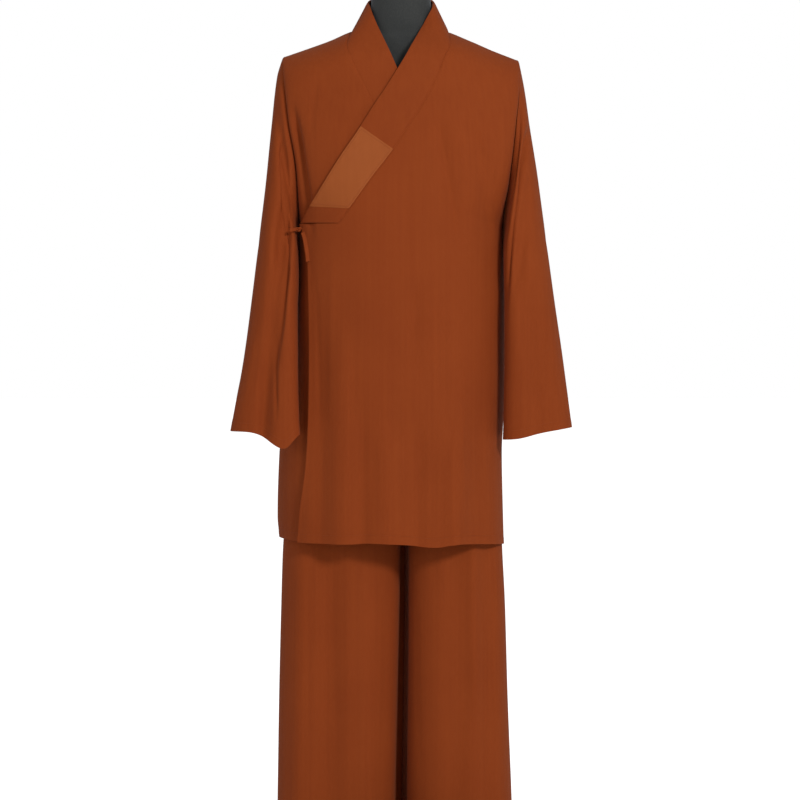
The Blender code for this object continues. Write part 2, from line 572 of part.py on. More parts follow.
def collar_grid(fractions):
    """The whole band, from the over end round the neck to the under end."""
    drops = body_rows()
    end = list(drops).index(BAND_END_DROP)
    over_drops = drops[:end + 1].copy()
    over_drops[-1] -= SEAM_SHIFT
    under_end = drop_at(UNDER_BAND["seam_x"][-1], UNDER_BAND["seam_height"][-1])
    under_drops = drops[drops < under_end - 0.01]
    under_drops = np.append(under_drops, under_end)
    x = back_columns(drops[:1], 7, 8)[0]
    x = x[8:-8][::-1]
    parts = (band_stretch(OVER_BAND, over_drops, fractions)[::-1], neck_stretch(x, fractions),
             band_stretch(UNDER_BAND, under_drops, fractions))
    points = np.concatenate(parts, axis=0)
    normal = normals_of(points)
    normal = normal * np.sign(np.sum(normal[:4, :, 1]) * -1)
    lift = over_lift(points)[..., None]
    lift[len(over_drops):] = 0
    return points + normal * lift, normal, list(over_drops[::-1])


def build_collar():
    points, normal, _ = collar_grid(np.linspace(0, 1, 5))
    cloth_wall("collar", points, inward(normal, BAND_CLOTH, ()), "robe_cloth")


def build_patch():
    """Laid on the band, from its points moved out."""
    points, normal, drops = collar_grid(np.linspace(0.012, 0.988, 5))
    first, last = drops.index(ARMPIT_DROP), drops.index(PATCH_TOP_DROP)
    points, normal = points[first:last + 1], normal[first:last + 1]
    raised = points + normal * (GAP + PATCH_CLOTH)
    cloth_wall("collar_patch", raised, -PATCH_CLOTH * normal, "patch_cloth")


# Sleeves

def sleeve_grid(name, rings, sides):
    """Rings from the armhole, where they follow the body's edge, to the cuff."""
    rows = SLEEVES[name]
    sign = -1 if name == "right" else 1
    t = np.linspace(0, 1, rings + 1) ** 1.15
    angle = np.linspace(0, 2 * math.pi, sides, endpoint=False)
    across, deep = turn(angle)
    line = {key: along(rows, "along", key, t)[:, None] for key in SLEEVE_COLUMNS[1:]}
    points = np.empty((rings + 1, sides, 3))
    for k, axis in enumerate("xyz"):
        out, under = line["out_" + axis], line["in_" + axis]
        points[..., k] = (out + under) / 2 + (out - under) / 2 * across
    pointed = np.sign(deep) * armhole_arch(across)
    settled = smooth(0, 0.15, t)[:, None]
    points[..., 1] -= line["depth"] * (pointed * (1 - settled) + deep * settled)
    drop = ARMPIT_DROP * (1 - across) / 2
    edge_x = sign * (half_width(float(sign), drop) + SEAM_SHIFT)
    edge_y = -ARMHOLE_DEPTH * np.sign(deep) * armhole_arch(across)
    points[0] = np.stack((edge_x, edge_y, height_at(edge_x, drop)), axis=-1)
    fade = smooth(0, 0.12, t)[:, None]
    for face in (-1, 1):
        facing_it = np.clip(-face * deep, 0, 1) ** 0.5
        dip = relief(SLEEVE_FOLDS[name, face], points[..., 0], points[..., 2]) * facing_it * fade
        points[..., 1] -= face * dip
    dip_x, outward, inside, dip_drop = CUFF_DIP[name]
    past = sign * (points[..., 0] - dip_x)
    near = np.exp(-(past / np.where(past > 0, outward, inside)) ** 2)
    points[..., 2] -= dip_drop * near * smooth(0.75, 1, t)[:, None] * (deep > -0.5)
    return points


def build_sleeve(name):
    points = sleeve_grid(name, SLEEVE_RINGS, SLEEVE_SIDES)
    normal = normals_of(points, closed=True)
    middle = points.mean(axis=1, keepdims=True)
    normal = normal * np.sign(np.sum(normal * (points - middle)))
    inner_side = (1, 0, 0) if name == "right" else (-1, 0, 0)
    step = inward(normal, CLOTH, [(slice(0, 1), slice(None), inner_side)])
    cloth_wall("sleeve_" + name, points, step, "robe_cloth", closed=True)


# Tie

def over_surface(line, raised):
    """Points raised from the over front's outer surface, along a line of x and height."""
    x, height = np.array(line, dtype=float).T
    reach = 0.004
    grid = []
    for shift in (-reach, 0, reach):
        grid.append(body_points(-1, x + shift, drop_at(x + shift, height)))
    grid = np.stack(grid, axis=1)
    lower = body_points(-1, x, drop_at(x, height - reach))
    normal = np.cross(grid[:, 2] - grid[:, 0], grid[:, 1] - lower)
    normal = -normal * np.sign(normal[:, 1:2]) / np.linalg.norm(normal, axis=1, keepdims=True)
    middle = grid[:, 1]
    return middle + normal * (over_lift(middle)[:, None] + raised), normal


def ribbon(name, points, width, step):
    """A flat strip along points: half its width and the step to its hidden side are vectors."""
    grid = np.stack((points - width, points, points + width), axis=1)
    cloth_wall(name, grid, np.repeat(step[:, None], 3, axis=1), "robe_cloth")


def build_tie():
    """A knot at the band's corner, with one end across the sleeve and one along the free edge."""
    centre, _ = over_surface([KNOT_AT], GAP + KNOT_SIZE[1] + KNOT_STAND)
    work = bmesh.new()
    bmesh.ops.create_uvsphere(work, u_segments=12, v_segments=8, radius=1)
    bmesh.ops.scale(work, vec=KNOT_SIZE, verts=work.verts)
    bmesh.ops.translate(work, vec=centre[0], verts=work.verts)
    add_object("tie_knot", work, "robe_cloth")
    line, normal = over_surface(TIE_DOWN, GAP + TIE_CLOTH + TIE_STAND)
    ribbon("tie_end_down", line, np.array((TIE_WIDTH / 2, 0, 0.0006)), -TIE_CLOTH * normal)
    side = centre[0] + np.array(TIE_SIDE)
    step = np.repeat([[0, TIE_CLOTH, 0]], len(side), axis=0)
    ribbon("tie_end_side", side, np.array((0, 0, TIE_WIDTH / 2)), step)


# Trousers

def trouser_grid(leg, face, columns, heights):
    """Half a leg: from the centre seam or inseam (first column) to the side seam (last)."""
    sign = -1 if leg == "right" else 1
    heights = np.array(heights)
    read = {key: along(TROUSERS, "height", key, heights)[:, None] for key in TROUSERS if key != "height"}
    inner = read[leg + "_in"] + sign * GAP / 2
    outer = sign * read[leg + "_out"]
    s = (1 - np.cos(np.linspace(0, math.pi, columns + 1))) / 2
    x = inner + (outer - inner) * s
    if face > 0:
        peak, past, end = LEG_FILLS[leg]
        middle = (read["right_in"] + read["left_in"]) / 2
        shift = sign * (inner + (outer - inner) * peak - middle) + past
        bulge = smooth(0, peak, s) * (1 - smooth(peak, end, s))
        x = x - sign * shift * bulge * smooth(0.66, 0.58, heights)[:, None]
    rise = read["rise"]
    full = rise * arch(s) + (1 - rise) * arch(2 * s - 1)
    z = np.repeat(heights[:, None], columns + 1, axis=1)
    depth = read["front" if face < 0 else "back"] * full
    dip = relief(TROUSER_FOLDS[leg, face], x, z) * arch(2 * s - 1) ** 0.5
    y = face * (depth - dip + GAP / 2)
    if leg == "right":
        y = y + 0.01 * smooth(0.8, 0.5, heights)[:, None] * s ** 2
    return np.stack((x, y, z), axis=-1)


def build_trouser_panel(leg, face, name):
    sign = -1 if leg == "right" else 1
    points = trouser_grid(leg, face, TROUSER_COLUMNS, TROUSER_HEIGHTS)
    centre = (points[..., 0].mean(), 0, 0.5)
    normal = facing(normals_of(points), points * (1, 1, 0) + (0, 0, 0.5), centre)
    crotch = TROUSER_HEIGHTS.index(0.695)
    seams = [(slice(None), slice(-1, None), (0, -face, 0)),
             (slice(0, crotch), slice(0, 1), (-sign, 0, 0)),
             (slice(crotch, None), slice(0, 1), (0, -face, 0))]
    cloth_wall(name, points, inward(normal, CLOTH, seams), "robe_cloth")


def section_ring(right, left, front, back, height, sides):
    """One closed horizontal section."""
    across, deep = turn(np.linspace(0, 2 * math.pi, sides, endpoint=False))
    x = np.where(across < 0, right, left) * across
    y = np.where(deep < 0, front, back) * deep
    return np.stack((x, y, np.full_like(x, height)), axis=-1)


def build_waistband():
    """Round the form's waist, which has one section from the seam up."""
    waist = [along(FORM, "height", key, WAIST_TOP) for key in ("right", "left", "front", "back")]
    rings = []
    for clearance in (GAP + BAND_CLOTH, GAP):
        size = [part + clearance for part in waist]
        rings.append([section_ring(*size, height, FORM_SIDES) for height in (WAIST_TOP, WAIST_SEAM + GAP)])
    outer, inner = np.array(rings)
    cloth_wall("waistband", outer, inner - outer, "robe_cloth", closed=True)


# Dress form and stand

def build_form():
    work = bmesh.new()
    rings = []
    for row in zip(*(FORM[key] for key in ("right", "left", "front", "back", "height"))):
        rings.append([work.verts.new(p) for p in section_ring(*row, FORM_SIDES)])
    for low, high in zip(rings, rings[1:]):
        for j in range(FORM_SIDES):
            k = (j + 1) % FORM_SIDES
            work.faces.new((low[j], low[k], high[k], high[j]))
    work.faces.new(rings[0][::-1])
    work.faces.new(rings[-1])
    add_object("form_torso", work, "form_cover")


def turned(name, profile, sides, centre, finish):
    """A round piece from its radius and height profile, closed on its axis."""
    work = bmesh.new()
    rings = []
    for radius, height in profile:
        ring = []
        for j in range(sides):
            angle = 2 * math.pi * j / sides
            ring.append(work.verts.new((centre[0] + radius * math.cos(angle),
                                        centre[1] + radius * math.sin(angle), height)))
        rings.append(ring)
    for low, high in zip(rings, rings[1:]):
        for j in range(sides):
            k = (j + 1) % sides
            work.faces.new((low[j], low[k], high[k], high[j]))
    work.faces.new(rings[0][::-1])
    work.faces.new(rings[-1])
    add_object(name, work, finish)


def build_stand():
    base_profile = [(BASE_RADIUS - 0.002, 0), (BASE_RADIUS, 0.002), (BASE_RADIUS, BASE_THICK - 0.004),
                    (BASE_RADIUS - 0.004, BASE_THICK)]
    turned("stand_base", base_profile, 48, (0, 0), "stand_metal")
    low = BASE_THICK + GAP
    hub_profile = [(HUB_RADIUS, low), (HUB_RADIUS, low + HUB_HEIGHT * 0.6),
                   (POLE_RADIUS + 0.004, low + HUB_HEIGHT)]
    turned("stand_hub", hub_profile, 24, (POLE_X, 0), "stand_metal")
    pole_profile = [(POLE_RADIUS, low + HUB_HEIGHT + GAP), (POLE_RADIUS, FORM_BOTTOM - GAP)]
    turned("stand_pole", pole_profile, 20, (POLE_X, 0), "stand_metal")
    low = NECK_TOP + GAP
    cap_profile = [(CAP_RADIUS - 0.002, low), (CAP_RADIUS, low + 0.002), (CAP_RADIUS - 0.003, low + 0.006),
                   (CAP_RADIUS - 0.014, low + CAP_HEIGHT)]
    turned("neck_cap", cap_profile, FORM_SIDES, (0, 0), "cap_plastic")


def main():
    for old in list(bpy.data.objects):
        bpy.data.objects.remove(old, do_unlink=True)
    build_front_under()
    build_front_over()
    build_back()
    build_collar()
    build_patch()
    for name in ("right", "left"):
        build_sleeve(name)
        for face, part in ((-1, "front"), (1, "back")):
            build_trouser_panel(name, face, "trouser_" + part + "_" + name)
    build_tie()
    build_waistband()
    build_form()
    build_stand()


main()
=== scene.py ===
"""Looks for the monk's jacket and trousers on their dress form: cloth, sewing, stand, light and camera.

The cloth repeats the sections of the solids at a finer spacing and adds the small creases, hems
and stitches. Metres, +Z up; the front faces -Y and the wearer's left is +X.
"""
import math

import bmesh
import bpy
import numpy as np
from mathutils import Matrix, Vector

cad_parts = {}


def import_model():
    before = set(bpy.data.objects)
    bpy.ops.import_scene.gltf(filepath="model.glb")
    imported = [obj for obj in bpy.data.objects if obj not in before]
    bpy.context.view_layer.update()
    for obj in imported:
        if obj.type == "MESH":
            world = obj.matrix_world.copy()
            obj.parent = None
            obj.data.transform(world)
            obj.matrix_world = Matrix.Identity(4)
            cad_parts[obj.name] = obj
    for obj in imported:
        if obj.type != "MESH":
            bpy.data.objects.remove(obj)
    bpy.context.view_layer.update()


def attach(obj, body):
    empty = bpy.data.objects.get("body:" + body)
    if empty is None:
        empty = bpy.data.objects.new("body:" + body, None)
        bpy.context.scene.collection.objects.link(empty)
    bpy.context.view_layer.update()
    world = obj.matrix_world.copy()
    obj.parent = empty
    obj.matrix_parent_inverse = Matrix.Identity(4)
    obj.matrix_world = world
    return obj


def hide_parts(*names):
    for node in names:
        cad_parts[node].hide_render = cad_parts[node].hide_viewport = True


SIGNS = {"right": -1, "left": 1}

# Camera and frame: the picture's middle at the garment's middle plane
CAMERA_AT = (0.0, -6.5, 1.0)
CAMERA_LOOKS_AT = (-0.00185, 0.0, 0.82105)
FRAME_WIDTH = 1.48
SENSOR = 36.0

# Cloth and seams
CLOTH = 0.0016
BAND_CLOTH = 0.003
PATCH_CLOTH = 0.001
GAP = 0.0003
SEAM_SHIFT = 0.0005
NECK_SHIFT = 0.0012
NECK_FADE = (0.08, 0.03)
OVERLAP_LIFT = 0.0075
OVERLAP_HEIGHTS = (1.5, 1.445)
OVERLAP_ACROSS = (0.17, 0.10)

# Jacket body: lengths are measured down from the shoulder line
BODY_LENGTH = 0.94
SHOULDER_ROUND = 0.06
ARMPIT_DROP = 0.329
PATCH_TOP_DROP = 0.2326
BAND_END_DROP = 0.3516
HEM_HEIGHT = 0.561
HEM_TILT = -0.03
ROUNDNESS = 2.3
ARMHOLE_DEPTH = 0.052
RIGHT_SETBACK = 0.02
LEFT_SETBACK = 0.015
LEFT_SETBACK_DROPS = (0.43, 0.66, 0.84)

# Neck opening
NECK_RIGHT = 0.0897
NECK_LEFT = 0.0881
NECK_DROP = 0.02
NECK_MIDDLE = (NECK_LEFT - NECK_RIGHT) / 2
NECK_HALF = (NECK_LEFT + NECK_RIGHT) / 2
COLLAR_TOP_WIDTH = 0.0611
COLLAR_TOP_DEPTH = 0.066
COLLAR_SIDE_HEIGHT = 1.5555
COLLAR_BACK_RISE = 0.0165
BAND_SETTLES = (0.03, 0.10)
BAND_RELIEF = 0.0004
BAND_ROLL = 0.0009
BAND_DENT_AT = 0.055
BAND_REACH = 0.02
BAND_STITCHES = (0.06, 0.94)
PATCH_SPAN = (0.012, 0.988)

# Tie: where the knot and the hanging end lie, as x and height, and the side end from the knot
KNOT_AT = (-0.1755, 1.1350)
KNOT_SIZE = (0.0068, 0.0042, 0.0050)
TIE_WIDTH = 0.006
TIE_CLOTH = 0.0012
TIE_DOWN = ((-0.1708, 1.1290), (-0.1675, 1.1180), (-0.1650, 1.1020), (-0.1630, 1.0880), (-0.1622, 1.0760))
TIE_SIDE = ((-0.0045, -0.0048, -0.0005), (-0.0085, -0.0088, -0.0007), (-0.0112, -0.0112, -0.0010),
            (-0.0140, -0.0128, -0.0014), (-0.0160, -0.0136, -0.0018))
KNOT_STAND = 0.0019
KNOT_STRAND = 0.0017
TIE_STAND = 0.0025

# Stand
BASE_RADIUS = 0.2
BASE_THICK = 0.012
POLE_X = -0.09
POLE_RADIUS = 0.0125
HUB_RADIUS = 0.024
HUB_HEIGHT = 0.03
HUB_STRAIGHT = 0.014
HUB_SHOULDER = 0.018
HUB_DRAW = 0.0075
HUB_CURVE = 0.012
FORM_BOTTOM = 0.8
NECK_TOP = 1.6
CAP_RADIUS = 0.0535
CAP_HEIGHT = 0.009
RIM_ROLL = 0.003
FORM_SEAM = 0.0006
FORM_SEAM_REACH = 0.0015
WAIST_TOP = 1.04
WAIST_SEAM = 1.0

# Fineness of the shells
ROW_STEP = 0.0065
SHOULDER_FINE = 14
BACK_FINE = (46, 36)
SLEEVE_FINE = (130, 180)
TROUSER_FINE = (130, 64)
CROTCH = 0.695
CROTCH_SPAN = (0.69, 0.745)
CROTCH_ROWS = (0.74, 0.7325, 0.725, 0.72, 0.715, 0.7108, 0.7075, 0.705, 0.7025, 0.70, 0.6985, 0.697, CROTCH)
BAND_FINE = 14

# Sewing
HEM = 0.019
HEM_RISE = 0.0003
HEM_STEP = 0.0012
SEAM_CLOSED = -0.0002
SEAM_ROLL = 0.0008
SEAM_REACH = 0.0025
FREE_ROLL = 0.0012
FREE_REACH = 0.005
PATCH_ROLL = 0.0004
PATCH_REACH = 0.0015
RIPPLES = 44
RIPPLE = 0.0006
STITCH_INSET = 0.003
STITCH_DENT = 0.0005
STITCH_PITCH = 0.0031
STITCH_LENGTH = 0.0023
STITCH_RADIUS = 0.00028
STITCH_RISE = 0.4 * STITCH_RADIUS


def table(columns, *rows):
    """A short table as one array for each named column."""
    return dict(zip(columns, np.array(rows, dtype=float).T))


def mm_rows(*rows):
    """Rows of millimetres in metres, or thousandths as shares."""
    return np.round(np.array(rows, dtype=float) / 1000, 6)


def mm_table(columns, *rows):
    """The same rows as one array for each named column."""
    return dict(zip(columns, mm_rows(*rows).T))


RIDGE = mm_table(("x", "height"),
    (-218.3, 1452.8), (-177.6, 1466.7), (-131.3, 1483.3), (-89.7, 1500.9), (-40, 1512), (0, 1515),
    (40, 1512), (86, 1500), (127.7, 1481.5), (164.7, 1466.7), (217.4, 1446.4))

SIDES = table(("drop", "right", "left"),
    (0, 0.2183, 0.2174), (0.045, 0.2155, 0.2173), (0.13, 0.2055, 0.2105), (0.24, 0.1912, 0.1986),
    (ARMPIT_DROP, 0.188, 0.1875), (0.36, 0.1887, 0.1888), (0.4, 0.189, 0.1906), (0.45, 0.1908, 0.1917),
    (0.5, 0.1935, 0.192), (0.6, 0.201, 0.1918), (0.68, 0.211, 0.1906), (0.766, 0.2251, 0.1867),
    (0.9, 0.2292, 0.1893), (BODY_LENGTH, 0.226, 0.1905))

DEPTHS = table(("drop", "front", "back"),
    (0, 0.08, 0.085), (0.07, 0.086, 0.09), (0.13, 0.098, 0.099), (0.2, 0.11, 0.106),
    (ARMPIT_DROP, 0.118, 0.109), (0.5, 0.118, 0.11), (0.75, 0.12, 0.112), (BODY_LENGTH, 0.124, 0.116))

# The band's seam and free rim, from the shoulder down, on the over front and on the under front
BAND_COLUMNS = ("seam_x", "seam_height", "rim_x", "rim_height", "rim_y")
OVER_BAND = mm_table(BAND_COLUMNS,
    (88.1, 1499.1, 61.1, 1555.5, 0), (88.1, 1474.1, 59, 1546.4, -22), (80.5, 1450.7, 42.2, 1514.5, -53),
    (63.9, 1407.6, 9.1, 1451.8, -80), (38.2, 1357.5, -25.5, 1394.3, -95),
    (13.2, 1320.8, -47.4, 1361.2, -100), (-13.5, 1278.8, -72.8, 1320.8, -105),
    (-50.9, 1229.5, -111, 1264.4, -105), (-92, 1172.2, -162.6, 1177.7, -80),
    (-111.8, 1144.2, -179.6, 1145.3, -60))
UNDER_BAND = mm_table(BAND_COLUMNS,
    (-89.7, 1500.9, -61.1, 1555.5, 0), (-99.1, 1474.1, -55.3, 1538.6, -28),
    (-89.7, 1445.2, -38.5, 1499.2, -60), (-75.8, 1415.3, -21.9, 1463.1, -73),
    (-51, 1365.1, -5.5, 1425.9, -85), (-25.5, 1313.6, 18.2, 1374.2, -95),
    (1.8, 1260.6, 58.2, 1284.4, -105))
UNDER_EDGE = table(("drop", "x"),
    (0.25, 0), (0.265, 0), (0.35, 0.048), (0.42, 0.06), (BODY_LENGTH, 0.065))
FREE_EDGE = mm_table(("height", "x"),
    (560, -184.5), (611.8, -180.7), (702.9, -169.8), (823.2, -164.5), (951.1, -162.8), (1075.5, -164.7),
    (1115.8, -170), (1144, -179))

# Soft folds, as x and height at the top, x in the middle, x and height at the foot, reach and depth:
# a trough has a positive depth and a ridge a negative one
FRONT_FOLDS = mm_rows(
    (-200, 1360, -188, -168, 1150, 15, 6), (55, 1370, 86, 101, 1080, 16, 4.5),
    (125, 1360, 146, 176, 1080, 15, 5), (27, 1060, 29, 28, 840, 16, 3), (31, 820, 30, 29, 460, 20, 7),
    (100, 820, 97, 97, 420, 16, -7), (140, 860, 137, 136, 420, 20, 5), (176, 680, 176, 176, 440, 14, -5),
    (-140, 1000, -142, -143, 420, 18, 6), (-105, 1000, -106, -104, 440, 20, -4),
    (-68, 860, -69, -70, 420, 16, 5), (-26, 800, -24, -22, 420, 18, -4))
BACK_FOLDS = mm_rows(
    (-150, 1330, -125, -118, 950, 18, 6), (150, 1340, 128, 115, 990, 18, 5),
    (-140, 1000, -150, -155, 420, 19, 7), (-95, 950, -100, -103, 420, 20, -6),
    (-45, 1080, -48, -52, 420, 18, 7), (0, 900, 2, 4, 420, 20, -6), (50, 1020, 52, 54, 420, 17, 7),
    (100, 880, 102, 103, 420, 18, -5), (140, 1040, 142, 143, 420, 16, 6))

# Sleeves: the outer and the underarm line and half the depth, from the armhole (0) to the cuff (1)
SLEEVE_COLUMNS = ("along", "out_x", "out_y", "out_z", "in_x", "in_y", "in_z", "depth")
SLEEVES = {
    "right": mm_table(SLEEVE_COLUMNS,
        (0, -218.3, 0, 1452.8, -188, 0, 1142.6, 52), (50, -228.7, 0, 1416.7, -188.4, -13, 1118, 54),
        (180, -239, -10, 1322.6, -187.2, -35, 1075, 56),
        (320, -249.2, -15, 1220.1, -187.6, -47, 1030, 53),
        (430, -258.2, -20, 1144.4, -189.2, -53, 992, 50),
        (620, -274.4, -30, 1008.8, -188.4, -70, 920, 45), (780, -286.8, -40, 914.1, -187.6, -80, 850, 41),
        (1000, -313.2, -50, 765.5, -184.5, -90, 766.5, 36)),
    "left": mm_table(SLEEVE_COLUMNS,
        (0, 217.4, 0, 1446.4, 187.5, 0, 1134.4, 52), (50, 227.6, 0, 1395.5, 187.7, -20, 1114, 56),
        (150, 236.4, -10, 1331.1, 188, -41, 1083, 56), (280, 251, -15, 1237.7, 188.8, -49, 1040, 53),
        (370, 258.9, -20, 1178.3, 189.5, -50, 1006, 50), (620, 281.7, -30, 1008.8, 189.5, -52, 900, 45),
        (790, 298.3, -30, 895.5, 188.5, -54, 825, 41), (1000, 314.4, -40, 772.5, 187, -56, 751.7, 36)),
}
SLEEVE_FOLDS = {
    ("right", -1): mm_rows(
        (-232, 1420, -229, -221, 1040, 14, 7), (-212, 1320, -204, -197, 1060, 11, 13),
        (-204, 1240, -234, -262, 660, 13, 14), (-252, 1100, -262, -276, 660, 18, 4)),
    ("right", 1): mm_rows(
        (-225, 1360, -222, -205, 1100, 16, 6), (-215, 1120, -236, -252, 660, 18, 8)),
    ("left", -1): mm_rows(
        (240, 1340, 224, 203, 980, 13, 8), (232, 1060, 246, 262, 660, 18, 4)),
    ("left", 1): mm_rows(
        (226, 1360, 222, 206, 1080, 16, 6), (222, 1100, 242, 262, 660, 18, 8)),
}
# How far along the sleeve leaves the armhole's line and its shape, and the folds and creases set in
ARMHOLE_LEFT = 0.06
SLEEVE_SETTLED = 0.15
FOLDS_IN = 0.12
CREASES_IN = 0.03
# The cuff's lowest place in front: x, how far the dip reaches out and in, and how deep it is
CUFF_DIP = {"right": (-0.2130, 0.036, 0.022, 0.031), "left": (0.2150, 0.030, 0.030, 0.004)}

# Trousers: side lines, inner lines, depths and how full the centre seam still is, by height
TROUSERS = mm_table(("height", "right_out", "left_out", "right_in", "left_in", "front", "back", "rise"),
    (45, 230, 206.5, -11, 10.5, 78, 82, 0), (81, 229.4, 205.4, -10.5, 10.5, 78, 82, 0),
    (266, 226.5, 198, -6.5, 12.2, 78, 82, 0), (451, 222, 192.4, -2.5, 13.5, 77, 82, 0),
    (545, 219, 187.6, -1, 13, 74, 80, 0), (620, 212, 185, -0.5, 8, 73, 80, 0),
    (695, 201, 182, 0, 0.8, 77, 82, 0), (700, 200, 181.8, 0, 0.4, 78, 83, 270),
    (715, 197, 181.2, 0, 0, 81, 85, 500), (740, 193, 180, 0, 0, 85, 88, 720),
    (775, 188, 178, 0, 0, 90, 91, 880), (820, 182, 175, 0, 0, 96, 95, 970),
    (880, 174, 170, 0, 0, 101, 98, 1000), (940, 164, 162, 0, 0, 103, 97, 1000),
    (1000, 150, 150, 0, 0, 100, 92, 1000))
TROUSER_FOLDS = {
    ("right", -1): mm_rows(
        (-130, 760, -132, -134, -100, 25, 11), (-185, 660, -190, -194, -100, 14, -4),
        (-60, 700, -56, -56, -100, 20, -4)),
    ("right", 1): mm_rows(
        (-80, 760, -84, -86, -100, 20, 8), (-150, 700, -152, -156, -100, 18, 6)),
    ("left", -1): mm_rows(
        (133, 720, 134, 140, 200, 11, -5), (158, 720, 158, 160, -100, 15, 6),
        (100, 700, 100, 104, -100, 20, 4)),
    ("left", 1): mm_rows(
        (75, 760, 78, 82, -100, 19, 8), (145, 700, 145, 148, -100, 17, 6)),
}

# Behind, the legs fill the gap between them: where across the panel, how far past the middle, and to where
LEG_FILLS = {"right": (0.03, 0.002, 0.2), "left": (0.117, 0.001, 0.35)}
LEG_FILL_HEIGHTS = (0.66, 0.58)
RIGHT_LEG_SETBACK = 0.01
RIGHT_LEG_HEIGHTS = (0.8, 0.5)

# Dress form: half widths on the wearer's right and left and half depths, from the bottom up
FORM_SIZES = ("right", "left", "front", "back")
FORM = table(("height", *FORM_SIZES),
    (FORM_BOTTOM, 0.15, 0.15, 0.08, 0.08), (0.812, 0.158, 0.158, 0.085, 0.086),
    (0.88, 0.16, 0.158, 0.094, 0.092), (0.95, 0.154, 0.153, 0.0975, 0.0905),
    (WAIST_SEAM, 0.1467, 0.1467, 0.0967, 0.0887), (WAIST_TOP, 0.1467, 0.1467, 0.0967, 0.0887),
    (1.12, 0.15, 0.15, 0.098, 0.088), (1.2, 0.158, 0.158, 0.102, 0.09), (1.3, 0.172, 0.172, 0.099, 0.09),
    (1.38, 0.188, 0.188, 0.085, 0.082), (1.42, 0.198, 0.197, 0.071, 0.072),
    (1.442, 0.203, 0.201, 0.059, 0.062), (1.4516, 0.205, 0.197, 0.053, 0.056),
    (1.4571, 0.198, 0.1829, 0.0515, 0.054), (1.4641, 0.1776, 0.1647, 0.05, 0.052),
    (1.4726, 0.154, 0.1435, 0.049, 0.05), (1.4807, 0.1313, 0.1235, 0.048, 0.05),
    (1.489, 0.1095, 0.103, 0.047, 0.05), (1.493, 0.088, 0.085, 0.046, 0.049),
    (1.499, 0.07, 0.07, 0.0455, 0.048), (1.51, 0.061, 0.061, 0.047, 0.049),
    (1.528, 0.0565, 0.0565, 0.049, 0.051), (1.555, 0.055, 0.055, 0.0505, 0.0515),
    (NECK_TOP, 0.054, 0.054, 0.0515, 0.052))

# How far the hem waves up or down in front and behind
HEM_WAVES = mm_table(("x", "front", "back"),
    (-230, 0, 0), (-174, -4, -2), (-110, -3, 3), (-44, 1, 0), (5, 0, -3), (60, -3.5, 1), (110, 3.5, 2),
    (163, 3, -2), (200, 0, 0))
WAVE_REACH = 0.12

# Small creases, as the place across and the height of both ends, bow, reach and depth
FRONT_CREASES = mm_rows(
    (12, 1285, 12, 1020, 1, 3.5, 0.6), (64, 1330, 101, 1090, -6, 6, 1.6), (96, 1310, 120, 1180, 2, 5, 1),
    (131, 1330, 167, 1160, -4, 5.5, 1.6), (150, 1300, 176, 1120, -3, 4.5, 1.4),
    (168, 1270, 181, 1080, -2, 5, 1.2), (30, 1010, 22, 900, 3, 6, 1), (75, 1060, 90, 700, 4, 8, 1.2),
    (112, 900, 118, 560, 2, 7, -1), (55, 820, 60, 560, -2, 7, 1.2), (5, 860, 2, 560, 2, 8, -1),
    (-48, 900, -50, 580, 1, 7, 1), (-88, 980, -90, 640, -2, 6, 1), (-125, 1100, -128, 740, 2, 6.5, -1),
    (-158, 1080, -150, 720, -3, 5, 1.2), (-60, 1380, -110, 1270, 4, 6, 1),
    (-200, 1375, -160, 1105, 0, 6.5, 14), (-208, 1400, -192, 1140, 1, 6, -3),
    (-150, 1420, -165, 1280, 3, 5, 1.2))
BACK_CREASES = mm_rows(
    (-170, 1300, -135, 1050, 6, 6, 1.8), (-140, 1340, -100, 1150, -4, 5.5, 1.2),
    (172, 1310, 130, 1040, -6, 6, 1.8), (145, 1330, 108, 1160, 3, 5, 1.2), (-60, 1460, 55, 1458, 4, 7, 1),
    (-15, 1300, -20, 980, 3, 7, 1.2), (28, 1200, 24, 820, -3, 6, 1), (-72, 1100, -75, 620, 3, 7, 1.2),
    (76, 1080, 80, 600, 2, 6.5, 1.2), (-22, 900, -24, 570, -1, 6, -1), (24, 780, 28, 570, 1, 6, 1),
    (-120, 920, -128, 600, 3, 6, 1), (122, 880, 126, 590, -2, 5.5, 1.2), (160, 1120, 158, 700, 3, 6, 1),
    (-165, 1100, -170, 680, -3, 6, 1.2))
SLEEVE_CREASES = {
    ("right", -1): mm_rows(
        (-228, 1380, -218, 990, -7, 9, 10), (-194, 1225, -237, 840, -3, 6.5, 13),
        (-229, 950, -226, 770, 1, 3, 5), (-240, 1080, -255, 900, -4, 6, 1.4),
        (-262, 960, -285, 800, 3, 6, -1), (-250, 900, -262, 775, 2, 5, 1)),
    ("right", 1): mm_rows(
        (-205, 1320, -228, 1120, 5, 6, 1.8), (-198, 1180, -232, 1060, -5, 5, 1.4),
        (-245, 1040, -270, 840, 4, 6, 1.2), (-215, 980, -232, 780, 3, 6, 1.4)),
    ("left", -1): mm_rows(
        (266, 1430, 186, 930, 15.7, 5.2, 20), (232, 1460, 174, 1050, -3, 5, 17),
        (212, 1240, 204, 1100, 2, 4, 1.6), (226, 1080, 222, 880, 3, 6, 1.2),
        (250, 1020, 268, 800, -3, 6, 1), (280, 940, 292, 790, 2, 5, -0.8)),
    ("left", 1): mm_rows(
        (205, 1310, 230, 1110, -5, 6, 1.8), (200, 1170, 236, 1070, 5, 5, 1.4),
        (240, 1050, 262, 850, -3, 6, 1.2), (218, 960, 240, 780, 3, 6, 1.4)),
}
